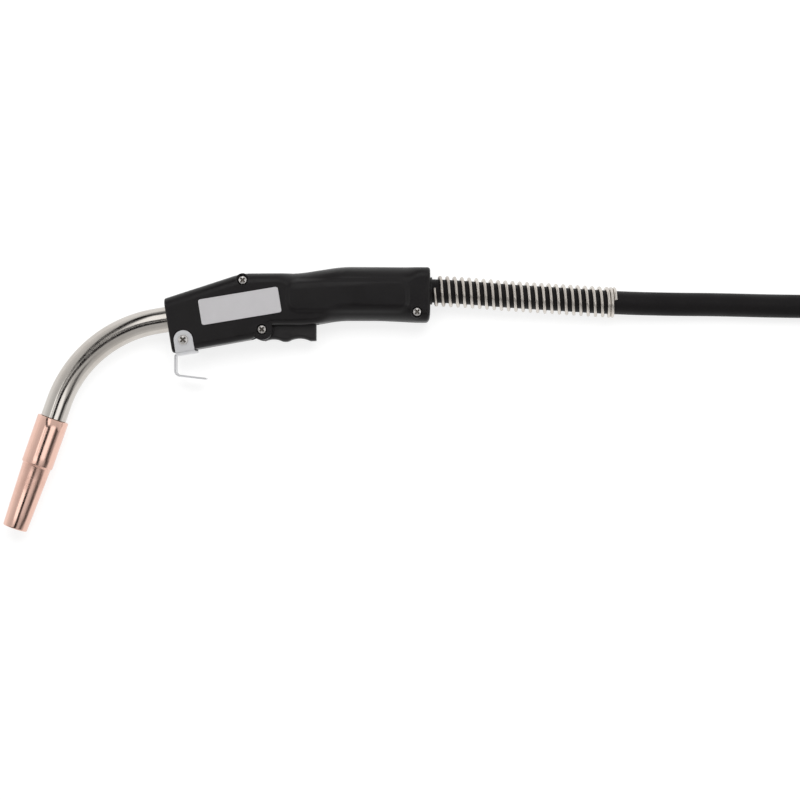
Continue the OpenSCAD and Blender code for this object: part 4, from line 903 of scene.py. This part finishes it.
floor_white = bpy.data.materials.new("white table")
floor_white.use_nodes = True
tree = floor_white.node_tree
tree.nodes.remove(tree.nodes["Principled BSDF"])
camera_ray = add(tree, "LightPath").outputs["Is Camera Ray"]
seen = maths(tree, "MAXIMUM", camera_ray, mirrored_rays(tree))
cloth = add(tree, "BsdfDiffuse", Color=(CLOTH_GREY, CLOTH_GREY, CLOTH_GREY, 1))
glow = add(tree, "Emission", Color=WHITE, Strength=maths(tree, "MULTIPLY", seen, CLOTH_GLOW))
both = add(tree, "AddShader", i0=cloth.outputs[0], i1=glow.outputs[0])
feed(tree, tree.nodes["Material Output"].inputs["Surface"], both.outputs[0])
floor_mesh.materials.append(floor_white)
print("table:", 2 * TABLE_HALF, "m wide")

# %% [markdown]
# ## The room in the metal
# What metals mirror is painted into the world: a pale room, with a few long lamps and black strips
# overhead. They draw the bright and dark streaks along the tube and the nozzle. The ceiling is a flat
# map whose middle is straight up and whose units are degrees from there, so that a strip is a line
# between two places on it, with a soft edge.

# %% The ceiling's map
world = bpy.data.worlds.new("room")
bpy.context.scene.world = world
world.use_nodes = True
tree = world.node_tree
split = add(tree, "SeparateXYZ", Vector=add(tree, "TexCoord").outputs["Generated"]).outputs
from_top = maths(tree, "DEGREES", maths(tree, "ARCCOSINE", split["Z"]))
level = add(tree, "CombineXYZ", X=split["X"], Y=split["Y"]).outputs[0]
ceiling = vector_maths(tree, "SCALE", vector_maths(tree, "NORMALIZE", level), Scale=from_top)


def strip(room, start, end, inner, outer, strength):
    """Adds a lamp or a black strip from start to end. Its edge fades from inner to outer degrees."""
    reach = Vector((end[0] - start[0], end[1] - start[1], 0))
    offset = vector_maths(tree, "SUBTRACT", ceiling, (*start, 0))
    passed = vector_maths(tree, "DOT_PRODUCT", offset, reach / reach.length_squared, out="Value")
    nearest = vector_maths(tree, "SCALE", reach, Scale=add(tree, "Clamp", Value=passed).outputs[0])
    away = vector_maths(tree, "DISTANCE", offset, nearest, out="Value")
    share = between(tree, away, inner, outer, 1, 0)
    return maths(tree, "MULTIPLY_ADD", share, maths(tree, "SUBTRACT", strength, room), room)


print("map of the ceiling:", len(tree.nodes), "nodes")

# %% [markdown]
# ## Lamps and strips
# Each strip has its two ends on the ceiling's map, the two widths of its edge, and its strength: above
# 1 it is a lamp, near 0 a black strip. Later ones lie over earlier ones. The room itself is a little
# brighter at the back, and its walls are brighter than its ceiling.

# %% Lamps and strips
STRIPS = [                     # start, end, inner, outer, strength
    ((-6, 14), (-8, 44), 7, 11, 1.5),              # lamps: one over the neck's first half,
    ((-12, -3), (-25, 3), 6, 10, 1.7),             # two over its second half and the nozzle
    ((19, -7), (36, -12), 6, 10, 1.5),
    ((-13, 80), (-21, 56), 3, 14, 0.25),           # a dark line that starts on the neck's outer side,
    ((-22, 60), (-24, 28), 4, 9, 0),
    ((-24, 28), (-18, 9), 4, 8, 0.03),
    ((-18, 9), (-3, 1), 2, 6, 0.05),               # and crosses to its middle on the way down
    ((0, -1), (4, -16), 5, 10, 0),
    ((-22, -20), (4, -18), 4, 10, 0),              # dark lines on the inner side of neck and nozzle
    ((53, -19), (60, -30), 5, 9, 0.05),
    ((-70, -36), (-22, -35), 3, 8, 0.1),           # a dark band along the spring
    ((36, -35), (70, -36), 3, 8, 0.1)]             # a dark edge for the lower bend and the nozzle
LIGHT_ON_TORCH = 0.55
walls = between(tree, from_top, 50, 88, 0, 0.2)
to_back = add(tree, "SeparateXYZ", Vector=ceiling).outputs["Y"]
mirrored = maths(tree, "ADD", walls, between(tree, to_back, -30, 30, 0.6, 0.75))
for start, end, inner, outer, strength in STRIPS:
    mirrored = strip(mirrored, start, end, inner, outer, strength)
soft = add(tree, "Background", Color=WHITE, Strength=LIGHT_ON_TORCH)
mirror = add(tree, "Background", Color=WHITE, Strength=mirrored)
white = add(tree, "Background", Color=WHITE, Strength=1)
for_light = add(tree, "MixShader", i0=mirrored_rays(tree), i1=soft.outputs[0], i2=mirror.outputs[0])
camera_ray = add(tree, "LightPath").outputs["Is Camera Ray"]
for_camera = add(tree, "MixShader", i0=camera_ray, i1=for_light.outputs[0], i2=white.outputs[0])
feed(tree, tree.nodes["World Output"].inputs["Surface"], for_camera.outputs[0])
print("strips overhead:", len(STRIPS))

# %% [markdown]
# ## The lamp
# One large soft lamp stands behind the torch and leans over it. It draws the faint shadow on the
# table. Mirrors don't see it, because the room's own lamps already draw the streaks. Colours are
# shown as they are, without a film look.

# %% Lamp
LAMP_PLACE, LAMP_AIM = Vector((0.1, 0.75, 1.6)), Vector((0.1, -0.1, 0))     # metres
lamp_data = bpy.data.lights.new("softbox", "AREA")
lamp_data.shape = "RECTANGLE"
lamp_data.size, lamp_data.size_y = 1.6, 0.9
lamp_data.energy = 22
lamp = bpy.data.objects.new("softbox", lamp_data)
lamp.location = LAMP_PLACE
lamp.rotation_euler = (LAMP_AIM - LAMP_PLACE).to_track_quat("-Z", "Y").to_euler()
bpy.context.scene.collection.objects.link(lamp)
lamp.visible_glossy = False
bpy.context.scene.view_settings.view_transform = "Standard"
print("lamp:", lamp_data.energy, "W")
